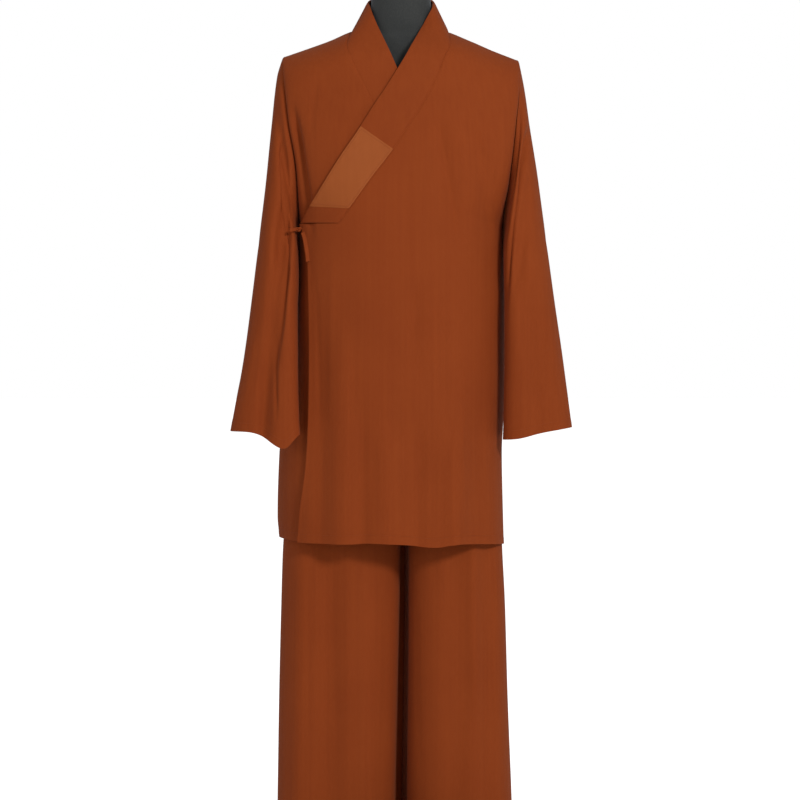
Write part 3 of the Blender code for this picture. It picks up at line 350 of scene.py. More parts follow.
OUTER_CREASES = mm_rows(
    (20, 1320, -20, 1120, 4, 7, 1.2), (-45, 1160, -10, 1030, -4, 6, 1.4), (30, 1120, -8, 980, 3, 6, 1.2),
    (-50, 990, -45, 830, 2, 6, 1), (-15, 960, -30, 790, 2, 6, 1))
TROUSER_CREASES = {
    -1: mm_rows(
        (60, 800, 66, 400, 4, 7, 1.2), (95, 560, 92, 120, -3, 7, -1), (30, 500, 36, 80, 3, 6, 1.2),
        (170, 560, 172, 100, 3, 6, 1.2), (18, 740, 60, 640, -4, 6, 1.4), (120, 340, 112, 60, 2, 8, 1)),
    1: mm_rows(
        (60, 700, 70, 300, -4, 7, 1.4), (115, 640, 110, 150, 3, 7, 1.2), (25, 720, 75, 600, 5, 6, 1.8),
        (35, 420, 30, 80, 2, 6, 1.2), (165, 520, 170, 90, -3, 6, 1.2)),
}

# Base colours in linear light
RUST = (0.318, 0.057, 0.0088)
RUST_DARK = (0.266, 0.044, 0.0064)
PATCH = (0.430, 0.105, 0.022)
PATCH_DARK = (0.360, 0.082, 0.016)
THREAD = (0.300, 0.056, 0.011)
CHARCOAL = (0.046, 0.048, 0.045)
CHARCOAL_DARK = (0.032, 0.034, 0.034)

# Woven cloths: two colours, thread pitch, sheen, roughness and bump
WOVEN = {
    "robe_weave": (RUST, RUST_DARK, 0.0008, 0.08, 0.8, 0.35),
    "band_weave": (RUST, RUST_DARK, 0.0008, 0.08, 0.78, 0.35),
    "patch_weave": (PATCH, PATCH_DARK, 0.0010, 0.15, 0.5, 0.5),
    "sewing_thread": (THREAD, RUST, 0.0006, 0.1, 0.6, 0.2),
}
# Hard parts: two colours, roughness, metal and scale of the grain
COATED = {
    "satin_black": ((0.03, 0.03, 0.031), (0.02, 0.02, 0.021), 0.45, 0.5, 1400),
    "matt_black": ((0.03, 0.03, 0.031), (0.024, 0.024, 0.025), 0.5, 0.0, 1800),
}

# Light: the backdrop's own, the floor's glow to the camera, and lamps with place, size and power
SKY_LIGHT = 0.34
FLOOR_GLOW = 0.85
LAMPS = (("key", (2.6, -4.7, 3.4), (1.0, 1.0), 150), ("fill", (-3.6, -4.0, 1.8), (1.8, 1.8), 24))


# Curves and sections, as in the solids

def smooth(low, high, value):
    """Rises softly from 0 at low to 1 at high."""
    part = np.clip((value - low) / (high - low), 0, 1)
    return part * part * (3 - 2 * part)


def along(rows, key, column, at):
    """A column read at values of the key, on a smooth curve that never overshoots its rows."""
    x, y = rows[key], rows[column]
    step = np.diff(x)
    slope = np.diff(y) / step
    before, after = slope[:-1], slope[1:]
    same = before * after > 0
    total = np.where(same, before + after, 1)
    bend = np.concatenate(([slope[0]], np.where(same, 2 * before * after / total, 0), [slope[-1]]))
    at = np.asarray(at, dtype=float)
    i = np.clip(np.searchsorted(x, at, side="right") - 1, 0, len(step) - 1)
    t = np.clip((at - x[i]) / step[i], 0, 1)
    level = y[i] * (1 + 2 * t) * (1 - t) ** 2 + y[i + 1] * t * t * (3 - 2 * t)
    return level + step[i] * (bend[i] * t * (1 - t) ** 2 - bend[i + 1] * t * t * (1 - t))


def arch(part):
    """The rounded height, 0 to 1, of a section at a place from -1 to 1 across it."""
    return np.clip(1 - np.abs(part) ** ROUNDNESS, 0, 1) ** (1 / ROUNDNESS)


def armhole_arch(part):
    """The armhole's depth: round at the shoulder, 1, and drawn to a soft point at the armpit, -1."""
    return np.where(np.asarray(part) > 0, arch(part), np.clip(1 - np.abs(part) ** ROUNDNESS, 0, 1))


def turn(angle):
    """Place across and depth, each -1 to 1, of a point on the same rounded section."""
    power = 2 / ROUNDNESS
    cosine, sine = np.cos(angle), np.sin(angle)
    return np.sign(cosine) * np.abs(cosine) ** power, np.sign(sine) * np.abs(sine) ** power


def relief(folds, x, z):
    """How far the cloth dips at x and z: the sum of its soft troughs and ridges."""
    total = np.zeros(np.broadcast(x, z).shape)
    for top_x, top_z, mid_x, foot_x, foot_z, reach, depth in folds:
        t = np.clip((top_z - z) / (top_z - foot_z), 0, 1)
        bow = 4 * t * (1 - t) * (mid_x - (top_x + foot_x) / 2)
        centre = top_x + t * (foot_x - top_x) + bow
        fade = smooth(0, 0.25, t) * (1 - smooth(0.75, 1, t))
        total = total + depth * fade * np.exp(-((x - centre) / reach) ** 2)
    return total


def crease_depth(rows, across, height):
    """The depth pressed in at places by a table of small creases."""
    total = np.zeros(np.broadcast(across, height).shape)
    for row in rows:
        start, end = row[0:2], row[2:4]
        bow, reach, depth = row[4:]
        line = end - start
        length = np.hypot(*line)
        line = line / length
        offset_x, offset_z = across - start[0], height - start[1]
        t = np.clip((offset_x * line[0] + offset_z * line[1]) / length, 0, 1)
        beyond = (offset_x * line[0] + offset_z * line[1]) - t * length
        side = offset_x * line[1] - offset_z * line[0] - 4 * bow * t * (1 - t)
        fade = smooth(0, 0.3, t) * (1 - smooth(0.6, 1, t))
        total = total + depth * fade * np.exp(-(side / reach) ** 2 - (beyond / reach) ** 2)
    return total


# Jacket body surface, as in the solids

def ridge_height(x):
    return along(RIDGE, "x", "height", x)


def fall(x):
    """Metres of height for each metre of drop below the shoulder line."""
    return (ridge_height(x) - HEM_HEIGHT - HEM_TILT * x) / BODY_LENGTH


def height_at(x, drop):
    return ridge_height(x) - drop * fall(x)


def drop_at(x, height):
    return (ridge_height(x) - height) / fall(x)


def half_width(x, drop):
    return np.where(x < 0, along(SIDES, "drop", "right", drop), along(SIDES, "drop", "left", drop))


def side_setback(x, drop):
    """How far behind the middle the sides lie: the right one to the hem, the left one by its sleeve."""
    right = RIGHT_SETBACK * smooth(ARMPIT_DROP, BODY_LENGTH, drop)
    full, least, gone = LEFT_SETBACK_DROPS
    left = LEFT_SETBACK * smooth(ARMPIT_DROP, full, drop) * (1 - smooth(least, gone, drop))
    return np.where(x < 0, right, left)


def body_points(face, x, drop):
    """Points of the jacket's outer surface: face is -1 in front and 1 behind."""
    x, drop = np.broadcast_arrays(np.asarray(x, dtype=float), np.asarray(drop, dtype=float))
    across = np.clip(np.abs(x) / half_width(x, drop), 0, 1)
    edge = ARMHOLE_DEPTH * armhole_arch(1 - 2 * drop / ARMPIT_DROP)
    start = np.clip(drop / SHOULDER_ROUND, 0, 1)
    middle = along(DEPTHS, "drop", "front" if face < 0 else "back", drop) * np.sqrt(1 - (1 - start) ** 2)
    height = height_at(x, drop)
    folds = FRONT_FOLDS if face < 0 else BACK_FOLDS
    dip = relief(folds, x, height) * (1 - across ** 8) * smooth(0, 0.1, drop)
    depth = edge + (middle - edge) * arch(across) - dip
    y = face * (depth + GAP / 2) + side_setback(x, drop) * across ** 3
    return np.stack((x, y, height), axis=-1)


def over_lift(points):
    """How far the over front and its band stand off the under front."""
    x, height = points[..., 0], points[..., 2]
    return OVERLAP_LIFT * smooth(*OVERLAP_HEIGHTS, height) * smooth(*OVERLAP_ACROSS, x)


# Grids

def unit(vectors):
    """Vectors brought to a length of one."""
    return vectors / np.maximum(np.linalg.norm(vectors, axis=-1, keepdims=True), 1e-12)


def circle(count):
    """Evenly spaced angles round a circle."""
    return np.linspace(0, 2 * math.pi, count, endpoint=False)


def normals_of(points, closed=False):
    """Unit normals of a grid of points, by the differences between its neighbours."""
    down = np.gradient(points, axis=0)
    if closed:
        side = (np.roll(points, -1, axis=1) - np.roll(points, 1, axis=1)) / 2
    else:
        side = np.gradient(points, axis=1)
    return unit(np.cross(side, down))


def facing(normals, points, centre):
    """The normals turned, all together, to point away from a centre."""
    return normals * np.sign(np.sum(normals * (points - np.array(centre))))


def inward(normals, thickness, seams):
    """Steps through the wall, kept from crossing each seam: (rows, columns, direction across)."""
    step = -thickness * normals
    for rows, columns, across in seams:
        across = np.array(across, dtype=float)
        part = step[rows, columns]
        step[rows, columns] = thickness * unit(part - np.maximum(part @ across, 0)[..., None] * across)
    return step


def spread(count):
    """Places from 0 to 1 that draw closer together towards 1."""
    return np.sin(np.linspace(0, math.pi / 2, count + 1)) ** 0.95


def band_line(band, column, drops):
    """A column of the band's table at drops of its seam."""
    keyed = dict(band, drop=drop_at(band["seam_x"], band["seam_height"]))
    return along(keyed, "drop", column, drops)


def seam_beside(band, side, drops):
    """x of a panel's edge beside a band's seam: side is -1 on the wearer's right and 1 on the left."""
    shift = side * NECK_SHIFT * smooth(*NECK_FADE, drops)
    return band_line(band, "seam_x", drops) + side * SEAM_SHIFT + shift


def under_end():
    """Drop of the under band's end."""
    return drop_at(UNDER_BAND["seam_x"][-1], UNDER_BAND["seam_height"][-1])


def under_edge(drops):
    """The under front's inner edge: the band's seam, and below the band its free edge."""
    free = along(UNDER_EDGE, "drop", "x", drops)
    return np.where(drops <= under_end(), seam_beside(UNDER_BAND, -1, drops), free)


def back_columns(drops, shoulder, neck):
    """x of the back's columns: both shoulders and the neck between them keep their own."""
    right = -NECK_RIGHT + (NECK_RIGHT - half_width(-1.0, drops))[:, None] * spread(shoulder)
    left = NECK_LEFT + (half_width(1.0, drops) - NECK_LEFT)[:, None] * spread(shoulder)
    angle = np.linspace(-math.pi / 2, math.pi / 2, neck + 1)[1:-1]
    middle = np.repeat((NECK_MIDDLE + NECK_HALF * np.sin(angle))[None], len(drops), axis=0)
    return np.concatenate((right[:, ::-1], middle, left), axis=1)


def neckline_drop(x):
    """Drop of the back's neckline below the shoulder line."""
    half = np.where(x < 0, NECK_RIGHT, NECK_LEFT)
    return NECK_DROP * np.clip(1 - (x / half) ** 2, 0, 1)


def body_rows():
    """Drops of the fine rows, with the ones where the pieces end."""
    angle = np.linspace(0, math.pi / 2, SHOULDER_FINE + 1)
    lower = np.arange(SHOULDER_ROUND + ROW_STEP, BODY_LENGTH - ROW_STEP / 2, ROW_STEP)
    exact = np.array((PATCH_TOP_DROP, ARMPIT_DROP, BAND_END_DROP))
    away = np.abs(lower[:, None] - exact).min(axis=1) > ROW_STEP / 3
    lower = np.sort(np.concatenate((lower[away], exact, [BODY_LENGTH])))
    return np.concatenate((SHOULDER_ROUND * (1 - np.cos(angle)), lower))


def lengths(points, axis):
    """Running length along an axis of a grid, from its first row or column."""
    step = np.linalg.norm(np.diff(points, axis=axis), axis=-1)
    shape = list(points.shape[:2])
    shape[axis] = 1
    return np.concatenate((np.zeros(shape), np.cumsum(step, axis=axis)), axis=axis)


def tucked(points, normal, reach=0.0025, depth=0.0014):
    """The grid and its normals with one more first row, hidden under the piece beyond the seam."""
    hidden = points[0] + unit(points[0] - points[1]) * reach - normal[0] * depth
    return np.concatenate((hidden[None], points)), np.concatenate((normal[:1], normal))


def swapped(grid):
    return np.swapaxes(grid, 0, 1)


def hem_relief(distance):
    """The rise of a turned-up hem, and the dent of its stitching, at a distance from the edge."""
    rise = HEM_RISE * (1 - smooth(HEM, HEM + HEM_STEP, distance))
    dent = STITCH_DENT * np.exp(-((distance - HEM + STITCH_INSET) / HEM_STEP) ** 2)
    return rise - dent


def seam_relief(distance):
    """The dip towards a seam at a distance from it."""
    return -SEAM_ROLL * np.exp(-(distance / SEAM_REACH) ** 2)


def waved(points, drops, face):
    """The points of a body panel with its lower edge waved a little."""
    wave = along(HEM_WAVES, "x", "front" if face < 0 else "back", points[..., 0])
    lift = wave * smooth(WAVE_REACH, 0, BODY_LENGTH - drops)
    return points + lift[..., None] * (0, 0, 1)


# Pieces

def placed(name, points, faces, finish):
    """A smooth mesh piece in the scene, with its material."""
    mesh = bpy.data.meshes.new(name)
    mesh.from_pydata(points, [], faces)
    mesh.shade_smooth()
    mesh.materials.append(finish)
    made = bpy.data.objects.new(name, mesh)
    bpy.context.scene.collection.objects.link(made)
    return made


def turned_out(made, sharp):
    """A piece on the one body with its faces turned outward and its edges sharp past an angle."""
    work = bmesh.new()
    work.from_mesh(made.data)
    bmesh.ops.recalc_face_normals(work, faces=work.faces)
    work.to_mesh(made.data)
    work.free()
    made.data.set_sharp_from_angle(angle=math.radians(sharp))
    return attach(made, "root")


def standing_for(made, node):
    """A piece shown in place of a solid, which is hidden."""
    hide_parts(node)
    return made


def quads_of(rows, columns, closed):
    """A grid's quads as corner numbers: (rows - 1, columns, 4), one column fewer when it is open."""
    index = np.arange(rows * columns).reshape(rows, columns)
    right = np.roll(index, -1, axis=1)
    quads = np.stack((index[:-1], right[:-1], right[1:], index[1:]), axis=-1)
    return quads if closed else quads[:, :-1]


def shell(name, outer, step, finish, closed=False, keep=None, along_v=None):
    """A thin closed shell from a grid of outer points and its steps inward, with a flat map in metres."""
    rows, columns = outer.shape[:2]
    quads = quads_of(rows, columns, closed)
    if keep is not None:
        quads = quads[keep]
    quads = quads.reshape(-1, 4)
    total = rows * columns
    edges = np.concatenate([quads[:, [k, (k + 1) % 4]] for k in range(4)])
    forward = edges[:, 0] * total + edges[:, 1]
    backward = edges[:, 1] * total + edges[:, 0]
    rim = edges[~np.isin(forward, backward)]
    sides = np.stack((rim[:, 1], rim[:, 0], rim[:, 0] + total, rim[:, 1] + total), axis=-1)
    faces = np.concatenate((quads, quads[:, ::-1] + total, sides))
    used = np.unique(faces)
    points = np.concatenate((outer.reshape(-1, 3), (outer + step).reshape(-1, 3)))[used]
    place = np.full(2 * total, -1)
    place[used] = np.arange(len(used))
    made = placed(name, points.tolist(), place[faces].tolist(), finish)
    v = along_v if along_v is not None else lengths(outer, 0)
    flat = np.stack((lengths(outer, 1), np.broadcast_to(v, (rows, columns))), axis=-1)
    flat = np.concatenate((flat.reshape(-1, 2), flat.reshape(-1, 2)))[used]
    corner = np.empty(len(made.data.loops), dtype=np.int32)
    made.data.loops.foreach_get("vertex_index", corner)
    flat = flat[corner].astype(np.float32).ravel()
    made.data.uv_layers.new(name="UVMap").data.foreach_set("uv", flat)
    return turned_out(made, 55)


def read_at(at, length, line):
    """Points of a line at running lengths."""
    return np.stack([np.interp(at, length, line[:, k]) for k in range(3)], axis=-1)


def stitches(name, lines, finish):
    """Rows of small stitches along lines of points with their normals."""
    ring = [(STITCH_RISE + STITCH_RADIUS * math.sin(a), STITCH_RADIUS * math.cos(a)) for a in circle(4)]
    form = [(share, *corner) for share in (-0.3, 0.3) for corner in ring]
    form = [(-0.5, STITCH_RISE, 0), *form, (0.5, STITCH_RISE, 0)]
    shares, rises, asides = np.array(form).T[..., None]
    sides = []
    for j in range(4):
        k = (j + 1) % 4
        sides += [(0, 1 + k, 1 + j), (1 + j, 1 + k, 5 + k, 5 + j), (9, 5 + j, 5 + k)]
    points, faces = [], []
    for line, normal in lines:
        length = lengths(line[:, None], 0)[:, 0]
        at = np.arange(STITCH_PITCH / 2, length[-1] - STITCH_PITCH / 2, STITCH_PITCH)
        place, out = read_at(at, length, line), read_at(at, length, normal)
        way = unit(read_at(at + 0.0005, length, line) - place)
        for p, d, s, n in zip(place, way, np.cross(way, out), out):
            faces += [tuple(len(points) + corner for corner in side) for side in sides]
            points += (p + d * STITCH_LENGTH * shares + n * rises + s * asides).tolist()
    made = placed(name, points, faces, finish)
    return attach(made, "root")


def row_line(points, normal, distance, value):
    """A line across a grid's rows where a distance, given for each point, has one value."""
    line, out = [], []
    for j in range(points.shape[1]):
        order = np.argsort(distance[:, j])
        here = distance[order, j]
        line.append(read_at(value, here, points[order, j]))
        out.append(read_at(value, here, normal[order, j]))
    return np.array(line), np.array(out)


# Materials

def set_inputs(node, **values):
    """Sets inputs by their names, with _ for each space."""
    for name, value in values.items():
        node.inputs[name.replace("_", " ")].default_value = value


class Nodes:
    """A material's node tree, with short calls to add and join nodes."""

    def __init__(self, name):
        self.material = bpy.data.materials.new(name)
        self.material.use_nodes = True
        self.tree = self.material.node_tree
        self.shader = self.tree.nodes["Principled BSDF"]

    def add(self, kind, **values):
        node = self.tree.nodes.new(kind)
        for key, value in values.items():
            setattr(node, key, value)
        return node

    def join(self, source, target):
        self.tree.links.new(source, target)

    def coloured(self, factor, first, second, rough, low, high):
        """Joins the colour, mixed by a factor, and the roughness, ranged from a source."""
        self.join(self.mix(factor, first, second), self.shader.inputs["Base Color"])
        self.join(self.ranged(rough, low, high), self.shader.inputs["Roughness"])

    def dented(self, height, strength, distance):
        """Joins a bump to the shader."""
        dent = self.add("ShaderNodeBump")
        set_inputs(dent, Strength=strength, Distance=distance)
        self.join(height, dent.inputs["Height"])
        self.join(dent.outputs[0], self.shader.inputs["Normal"])
        return self.material

    def math(self, operation, first, second):
        node = self.add("ShaderNodeMath", operation=operation)
        for socket, value in zip(node.inputs, (first, second)):
            if isinstance(value, (int, float)):
                socket.default_value = value
            else:
                self.join(value, socket)
        return node.outputs[0]

    def noise(self, source, scale, detail, stretch=(1, 1, 1)):
        mapping = self.add("ShaderNodeMapping")
        set_inputs(mapping, Scale=stretch)
        self.join(source, mapping.inputs["Vector"])
        noise = self.add("ShaderNodeTexNoise")
        set_inputs(noise, Scale=scale, Detail=detail)
        self.join(mapping.outputs[0], noise.inputs["Vector"])
        return noise.outputs["Fac"]

    def ranged(self, source, low, high, floor=0.3, top=0.7):
        node = self.add("ShaderNodeMapRange")
        set_inputs(node, From_Min=floor, From_Max=top, To_Min=low, To_Max=high)
        self.join(source, node.inputs["Value"])
        return node.outputs[0]

    def mix(self, factor, first, second):
        node = self.add("ShaderNodeMix", data_type="RGBA")
        self.join(factor, node.inputs["Factor"])
        for socket, value in ((node.inputs[6], first), (node.inputs[7], second)):
            if isinstance(value, tuple):
                socket.default_value = (*value, 1)
            else:
                self.join(value, socket)
        return node.outputs[2]


def woven(name, colour, dark, thread, sheen, roughness, bump):
    """Plain-woven cloth: threads both ways, slubs, and soft changes of colour."""
    make = Nodes(name)
    flat = make.add("ShaderNodeUVMap", uv_map="UVMap").outputs[0]
    solid = make.add("ShaderNodeTexCoord").outputs["Object"]
    parts = make.add("ShaderNodeSeparateXYZ")
    make.join(flat, parts.inputs[0])
    waves = []
    for k in (0, 1):
        turned_to = make.math("MULTIPLY", parts.outputs[k], 2 * math.pi / thread)
        waves.append(make.math("SINE", turned_to, 0.0))
    weave = make.math("MULTIPLY", waves[0], waves[1])
    slub = make.noise(flat, 1, 2, (900, 70, 1))
    streak = make.noise(solid, 1, 3, (170, 170, 2.2))
    cloud = make.noise(solid, 7, 3)
    blend = make.math("ADD", make.ranged(cloud, 0, 0.45), make.ranged(streak, 0, 0.35))
    blend = make.math("ADD", blend, make.ranged(slub, 0, 0.2))
    make.coloured(blend, colour, dark, slub, roughness - 0.05, roughness + 0.05)
    set_inputs(make.shader, Specular_IOR_Level=0.15, Sheen_Weight=sheen, Sheen_Roughness=0.45,
               Sheen_Tint=(1.0, 0.62, 0.42, 1))
    height = make.math("ADD", weave, make.math("MULTIPLY", slub, 1.5))
    return make.dented(height, bump, 0.0002)


def jersey(name, colour, dark):
    """The form's knitted cover: fine vertical ribs and a soft pile."""
    make = Nodes(name)
    solid = make.add("ShaderNodeTexCoord").outputs["Object"]
    grain = make.noise(solid, 900, 2, (1, 1, 0.35))
    cloud = make.noise(solid, 14, 3)
    blend = make.math("ADD", make.ranged(cloud, 0, 0.6), make.ranged(grain, 0, 0.4))
    make.coloured(blend, colour, dark, grain, 0.68, 0.88)
    set_inputs(make.shader, Specular_IOR_Level=0.3, Sheen_Weight=0.35, Sheen_Roughness=0.4,
               Sheen_Tint=(0.8, 0.9, 1.0, 1))
    return make.dented(grain, 0.25, 0.0003)


def coated(name, colour, dark, roughness, metallic, grain_scale):
    """Painted metal or moulded plastic with a fine grain and faint wear."""
    make = Nodes(name)
    solid = make.add("ShaderNodeTexCoord").outputs["Object"]
    grain = make.noise(solid, grain_scale, 3)
    cloud = make.noise(solid, 9, 4)
    make.coloured(make.ranged(cloud, 0, 1), colour, dark, cloud, roughness - 0.08, roughness + 0.08)
    set_inputs(make.shader, Metallic=metallic)
    return make.dented(grain, 0.12, 0.0002)


# Jacket

def pressed(points, normal, rows, facing_it, across=None):
    """The points with a table of small creases pressed in, by how far each faces them."""
    across = points[..., 0] if across is None else across
    depth = crease_depth(rows, across, points[..., 2]) * facing_it
    return points - normal * depth[..., None]


def finished(points, normal, rise):
    """The points raised by the sewing's relief."""
    return points + normal * rise[..., None]


def body_normals(points):
    """Normals of a body panel's grid, outward."""
    return facing(normals_of(points), points, (0, 0, 1))


def toward(normal, axis, sign):
    """How much each point faces one way along an axis, 0 to 1."""
    return np.clip(sign * normal[..., axis], 0, 1)


def from_end(points, axis):
    """Running length along an axis of a grid, from its last row or column."""
    return np.flip(lengths(np.flip(points, axis), axis), axis)


def from_sides(points):
    return np.minimum(lengths(points, 1), from_end(points, 1))


def make_front_under(cloth):
    drops = body_rows()
    inner = under_edge(drops)
    outer_x = -half_width(-1.0, drops)
    x = inner[:, None] + (outer_x - inner)[:, None] * spread(70)
    points = waved(body_points(-1, x, drops[:, None]), drops[:, None], -1)
    normal = body_normals(points)
    hem = np.broadcast_to(BODY_LENGTH - drops[:, None], x.shape)
    side = from_end(points, 1)
    points = pressed(points, normal, FRONT_CREASES, toward(normal, 1, -1) ** 0.5)
    points = finished(points, normal, hem_relief(hem) + seam_relief(side))
    line = row_line(points, normal, hem, HEM - STITCH_INSET)
    seams = body_seams(drops, -1, (-1,))
    points, normal = (swapped(grid) for grid in tucked(swapped(points), swapped(normal)))
    made = shell("panel_front_under", points, inward(normal, CLOTH, seams), cloth, along_v=drops[:, None])
    standing_for(made, "front_under")
    return made, [line]


def body_seams(drops, face, outwards):
    """Planes that a body panel's wall may not cross, at its shoulder and side seams."""
    armpit = list(drops).index(ARMPIT_DROP)
    seams = [(slice(0, 1), slice(None), (0, -face, 0))]
    for sign in outwards:
        column = slice(-1, None) if len(outwards) == 1 or sign > 0 else slice(0, 1)
        seams.append((slice(None), column, (0, -face, 0)))
        seams.append((slice(0, armpit), column, (sign, 0, 0)))
    return seams


def over_grid(wide, narrow):
    """The over front: its main columns, and narrow ones right of the band's end below it."""
    drops = body_rows()
    end = list(drops).index(BAND_END_DROP)
    seam = seam_beside(OVER_BAND, 1, drops)
    seam[end:] = OVER_BAND["seam_x"][-1] + SEAM_SHIFT
    outer_x = half_width(1.0, drops)
    main = seam[:, None] + (outer_x - seam)[:, None] * spread(wide)
    main_drops = np.repeat(drops[:, None], wide + 1, axis=1)
    corner_height = height_at(seam[end], BAND_END_DROP)
    share = np.clip((drops - BAND_END_DROP) / (BODY_LENGTH - BAND_END_DROP), 0, 1)[:, None]
    edge = along(FREE_EDGE, "height", "x", corner_height + share[:, 0] * (HEM_HEIGHT - corner_height))
    side = seam[:, None] + (edge - seam)[:, None] * spread(narrow)
    side_drops = drop_at(side, corner_height) * (1 - share) + BODY_LENGTH * share
    x = np.concatenate((side[:, :0:-1], main), axis=1)
    all_drops = np.concatenate((side_drops[:, :0:-1], main_drops), axis=1)
    return body_points(-1, x, all_drops), all_drops, end


def make_front_over(cloth):
    wide, narrow = 96, 34
    points, drops, end = over_grid(wide, narrow)
    points = waved(points, drops, -1)
    normal = body_normals(points)
    # Above the band's end the narrow columns are unused, so the seam column takes its own difference
    upper = body_normals(points[:end + 1, narrow:])
    normal[:end, narrow:] = upper[:end]
    points = points + normal * over_lift(points)[..., None]
    hem = BODY_LENGTH - drops
    side = from_end(points, 1)
    free = lengths(points, 1)
    rise = hem_relief(hem) + seam_relief(side)
    rise[end:] += FREE_ROLL * np.exp(-(free[end:] / FREE_REACH) ** 2)
    points = pressed(points, normal, FRONT_CREASES, toward(normal, 1, -1) ** 0.5)
    points = finished(points, normal, rise)
    keep = np.ones((points.shape[0] - 1, points.shape[1] - 1), dtype=bool)
    keep[:end, :narrow] = False
    # The first unused column beside the seam is the part of the panel that is tucked under the band
    hidden, _ = tucked(swapped(points[:end, narrow:]), swapped(normal[:end, narrow:]))
    points[:end, narrow - 1] = hidden[0]
    keep[:end - 1, narrow - 1] = True
    seams = body_seams(body_rows(), -1, (1,))
    made = shell("panel_front_over", points, inward(normal, CLOTH, seams), cloth, keep=keep, along_v=drops)
    standing_for(made, "front_over")
    edge = (points[end + 2:-2, 3], normal[end + 2:-2, 3])
    return made, [row_line(points[end:], normal[end:], hem[end:], HEM - STITCH_INSET), edge]


def make_back(cloth):
    drops = body_rows()
    x = back_columns(drops, *BACK_FINE)
    top = neckline_drop(x)
    share = np.clip(drops[:, None] / SHOULDER_ROUND, 0, 1)
    all_drops = drops[:, None] + top * (1 - share)
    points = waved(body_points(1, x, all_drops), all_drops, 1)
    normal = body_normals(points)
    hem = np.broadcast_to(BODY_LENGTH - drops[:, None], x.shape)
    side = from_sides(points)
    middle = np.abs(points[..., 0])
    points = pressed(points, normal, BACK_CREASES, toward(normal, 1, 1) ** 0.5)
    points = finished(points, normal, hem_relief(hem) + seam_relief(side) + seam_relief(middle))
    line = row_line(points, normal, hem, HEM - STITCH_INSET)
    points, normal = tucked(points, normal)
    all_drops = np.concatenate((all_drops[:1], all_drops))
    made = shell("panel_back", points, inward(normal, CLOTH, ()), cloth, along_v=all_drops)
    standing_for(made, "back")
    return made, [line]


# Collar band and its patch

def band_stretch(band, drops, fractions):
    """The band across one front: from its seam to its rim at each drop."""
    seam_x = band_line(band, "seam_x", drops)
    seam = body_points(-1, seam_x, drops)
    rim = np.stack([band_line(band, name, drops) for name in ("rim_x", "rim_y", "rim_height")], axis=-1)
    ruled = seam[:, None] + (rim - seam)[:, None] * fractions[None, :, None]
    lower = np.maximum(drop_at(ruled[..., 0], ruled[..., 2]), 0)
    laid = body_points(-1, ruled[..., 0], lower)
    share = smooth(*BAND_SETTLES, drops)[:, None] * np.ones_like(fractions)
    ruled[..., 1] = ruled[..., 1] * (1 - share) + laid[..., 1] * share
    return ruled


def neck_stretch(x, fractions):
    """The band round the back of the neck, standing up from the neckline."""
    seam = body_points(1, x, neckline_drop(x)) + (0, -SEAM_SHIFT, SEAM_SHIFT)
    sine = np.clip((x - NECK_MIDDLE) / NECK_HALF, -1, 1)
    cosine = np.sqrt(1 - sine ** 2)
    rim = np.stack((COLLAR_TOP_WIDTH * sine, COLLAR_TOP_DEPTH * cosine,
                    COLLAR_SIDE_HEIGHT + COLLAR_BACK_RISE * cosine), axis=-1)
    return seam[:, None] + (rim - seam)[:, None] * fractions[None, :, None]


def collar_grid(fractions):
    """The whole band, from the over end round the neck to the under end."""
    drops = body_rows()
    end = list(drops).index(BAND_END_DROP)
    over_drops = drops[:end + 1].copy()
    over_drops[-1] -= SEAM_SHIFT
    under_drops = np.append(drops[drops < under_end() - ROW_STEP / 2], under_end())
    past = BACK_FINE[0] + 1
    x = back_columns(drops[:1], *BACK_FINE)[0, past:-past][::-1]
    parts = (band_stretch(OVER_BAND, over_drops, fractions)[::-1], neck_stretch(x, fractions),
             band_stretch(UNDER_BAND, under_drops, fractions))
    points = np.concatenate(parts, axis=0)
    normal = normals_of(points)
    normal = normal * np.sign(np.sum(normal[:4, :, 1]) * -1)
    lift = over_lift(points)[..., None]
    lift[len(over_drops):] = 0
    return points + normal * lift, normal, list(over_drops[::-1])


def band_relief(share):
    """The band's rounded rim, and the dent of the stitching along both its edges."""
    edge = np.minimum(share, 1 - share)
    dent = np.exp(-((edge - BAND_DENT_AT) / BAND_REACH) ** 2) * BAND_RELIEF
    return BAND_RELIEF - dent - BAND_ROLL * np.exp(-(edge / BAND_REACH) ** 2)


def make_collar(cloth):
    fractions = (1 - np.cos(np.linspace(0, math.pi, BAND_FINE + 1))) / 2
    points, normal, _ = collar_grid(fractions)
    points = finished(points, normal, np.broadcast_to(band_relief(fractions), points.shape[:2]))
    made = shell("band_collar", points, inward(normal, BAND_CLOTH, ()), cloth)
    standing_for(made, "collar")
    lines = []
    for share in BAND_STITCHES:
        line, out, _ = collar_grid(np.array((share - BAND_REACH, share, share + BAND_REACH)))
        lines.append((line[2:-2, 1] - out[2:-2, 1] * BAND_RELIEF, out[2:-2, 1]))
    return made, lines


def make_patch(cloth):
    fractions = np.linspace(*PATCH_SPAN, 23)
    points, normal, drops = collar_grid(fractions)
    first, last = drops.index(ARMPIT_DROP), drops.index(PATCH_TOP_DROP)
    points, normal = points[first:last + 1], normal[first:last + 1]
    points = points + normal * (GAP + PATCH_CLOTH)
    across, down = lengths(points, 1), lengths(points, 0)
    edge = np.minimum(np.minimum(across, across[:, -1:] - across), np.minimum(down, down[-1:] - down))
    points = finished(points, normal, -PATCH_ROLL * np.exp(-(edge / PATCH_REACH) ** 2))
    made = shell("band_patch", points, -PATCH_CLOTH * normal, cloth)
    standing_for(made, "collar_patch")
    ring = [(points[1:-1, k], normal[1:-1, k]) for k in (1, -2)]
    ring += [(points[k, 1:-1], normal[k, 1:-1]) for k in (1, -2)]
    return made, ring


# Sleeves

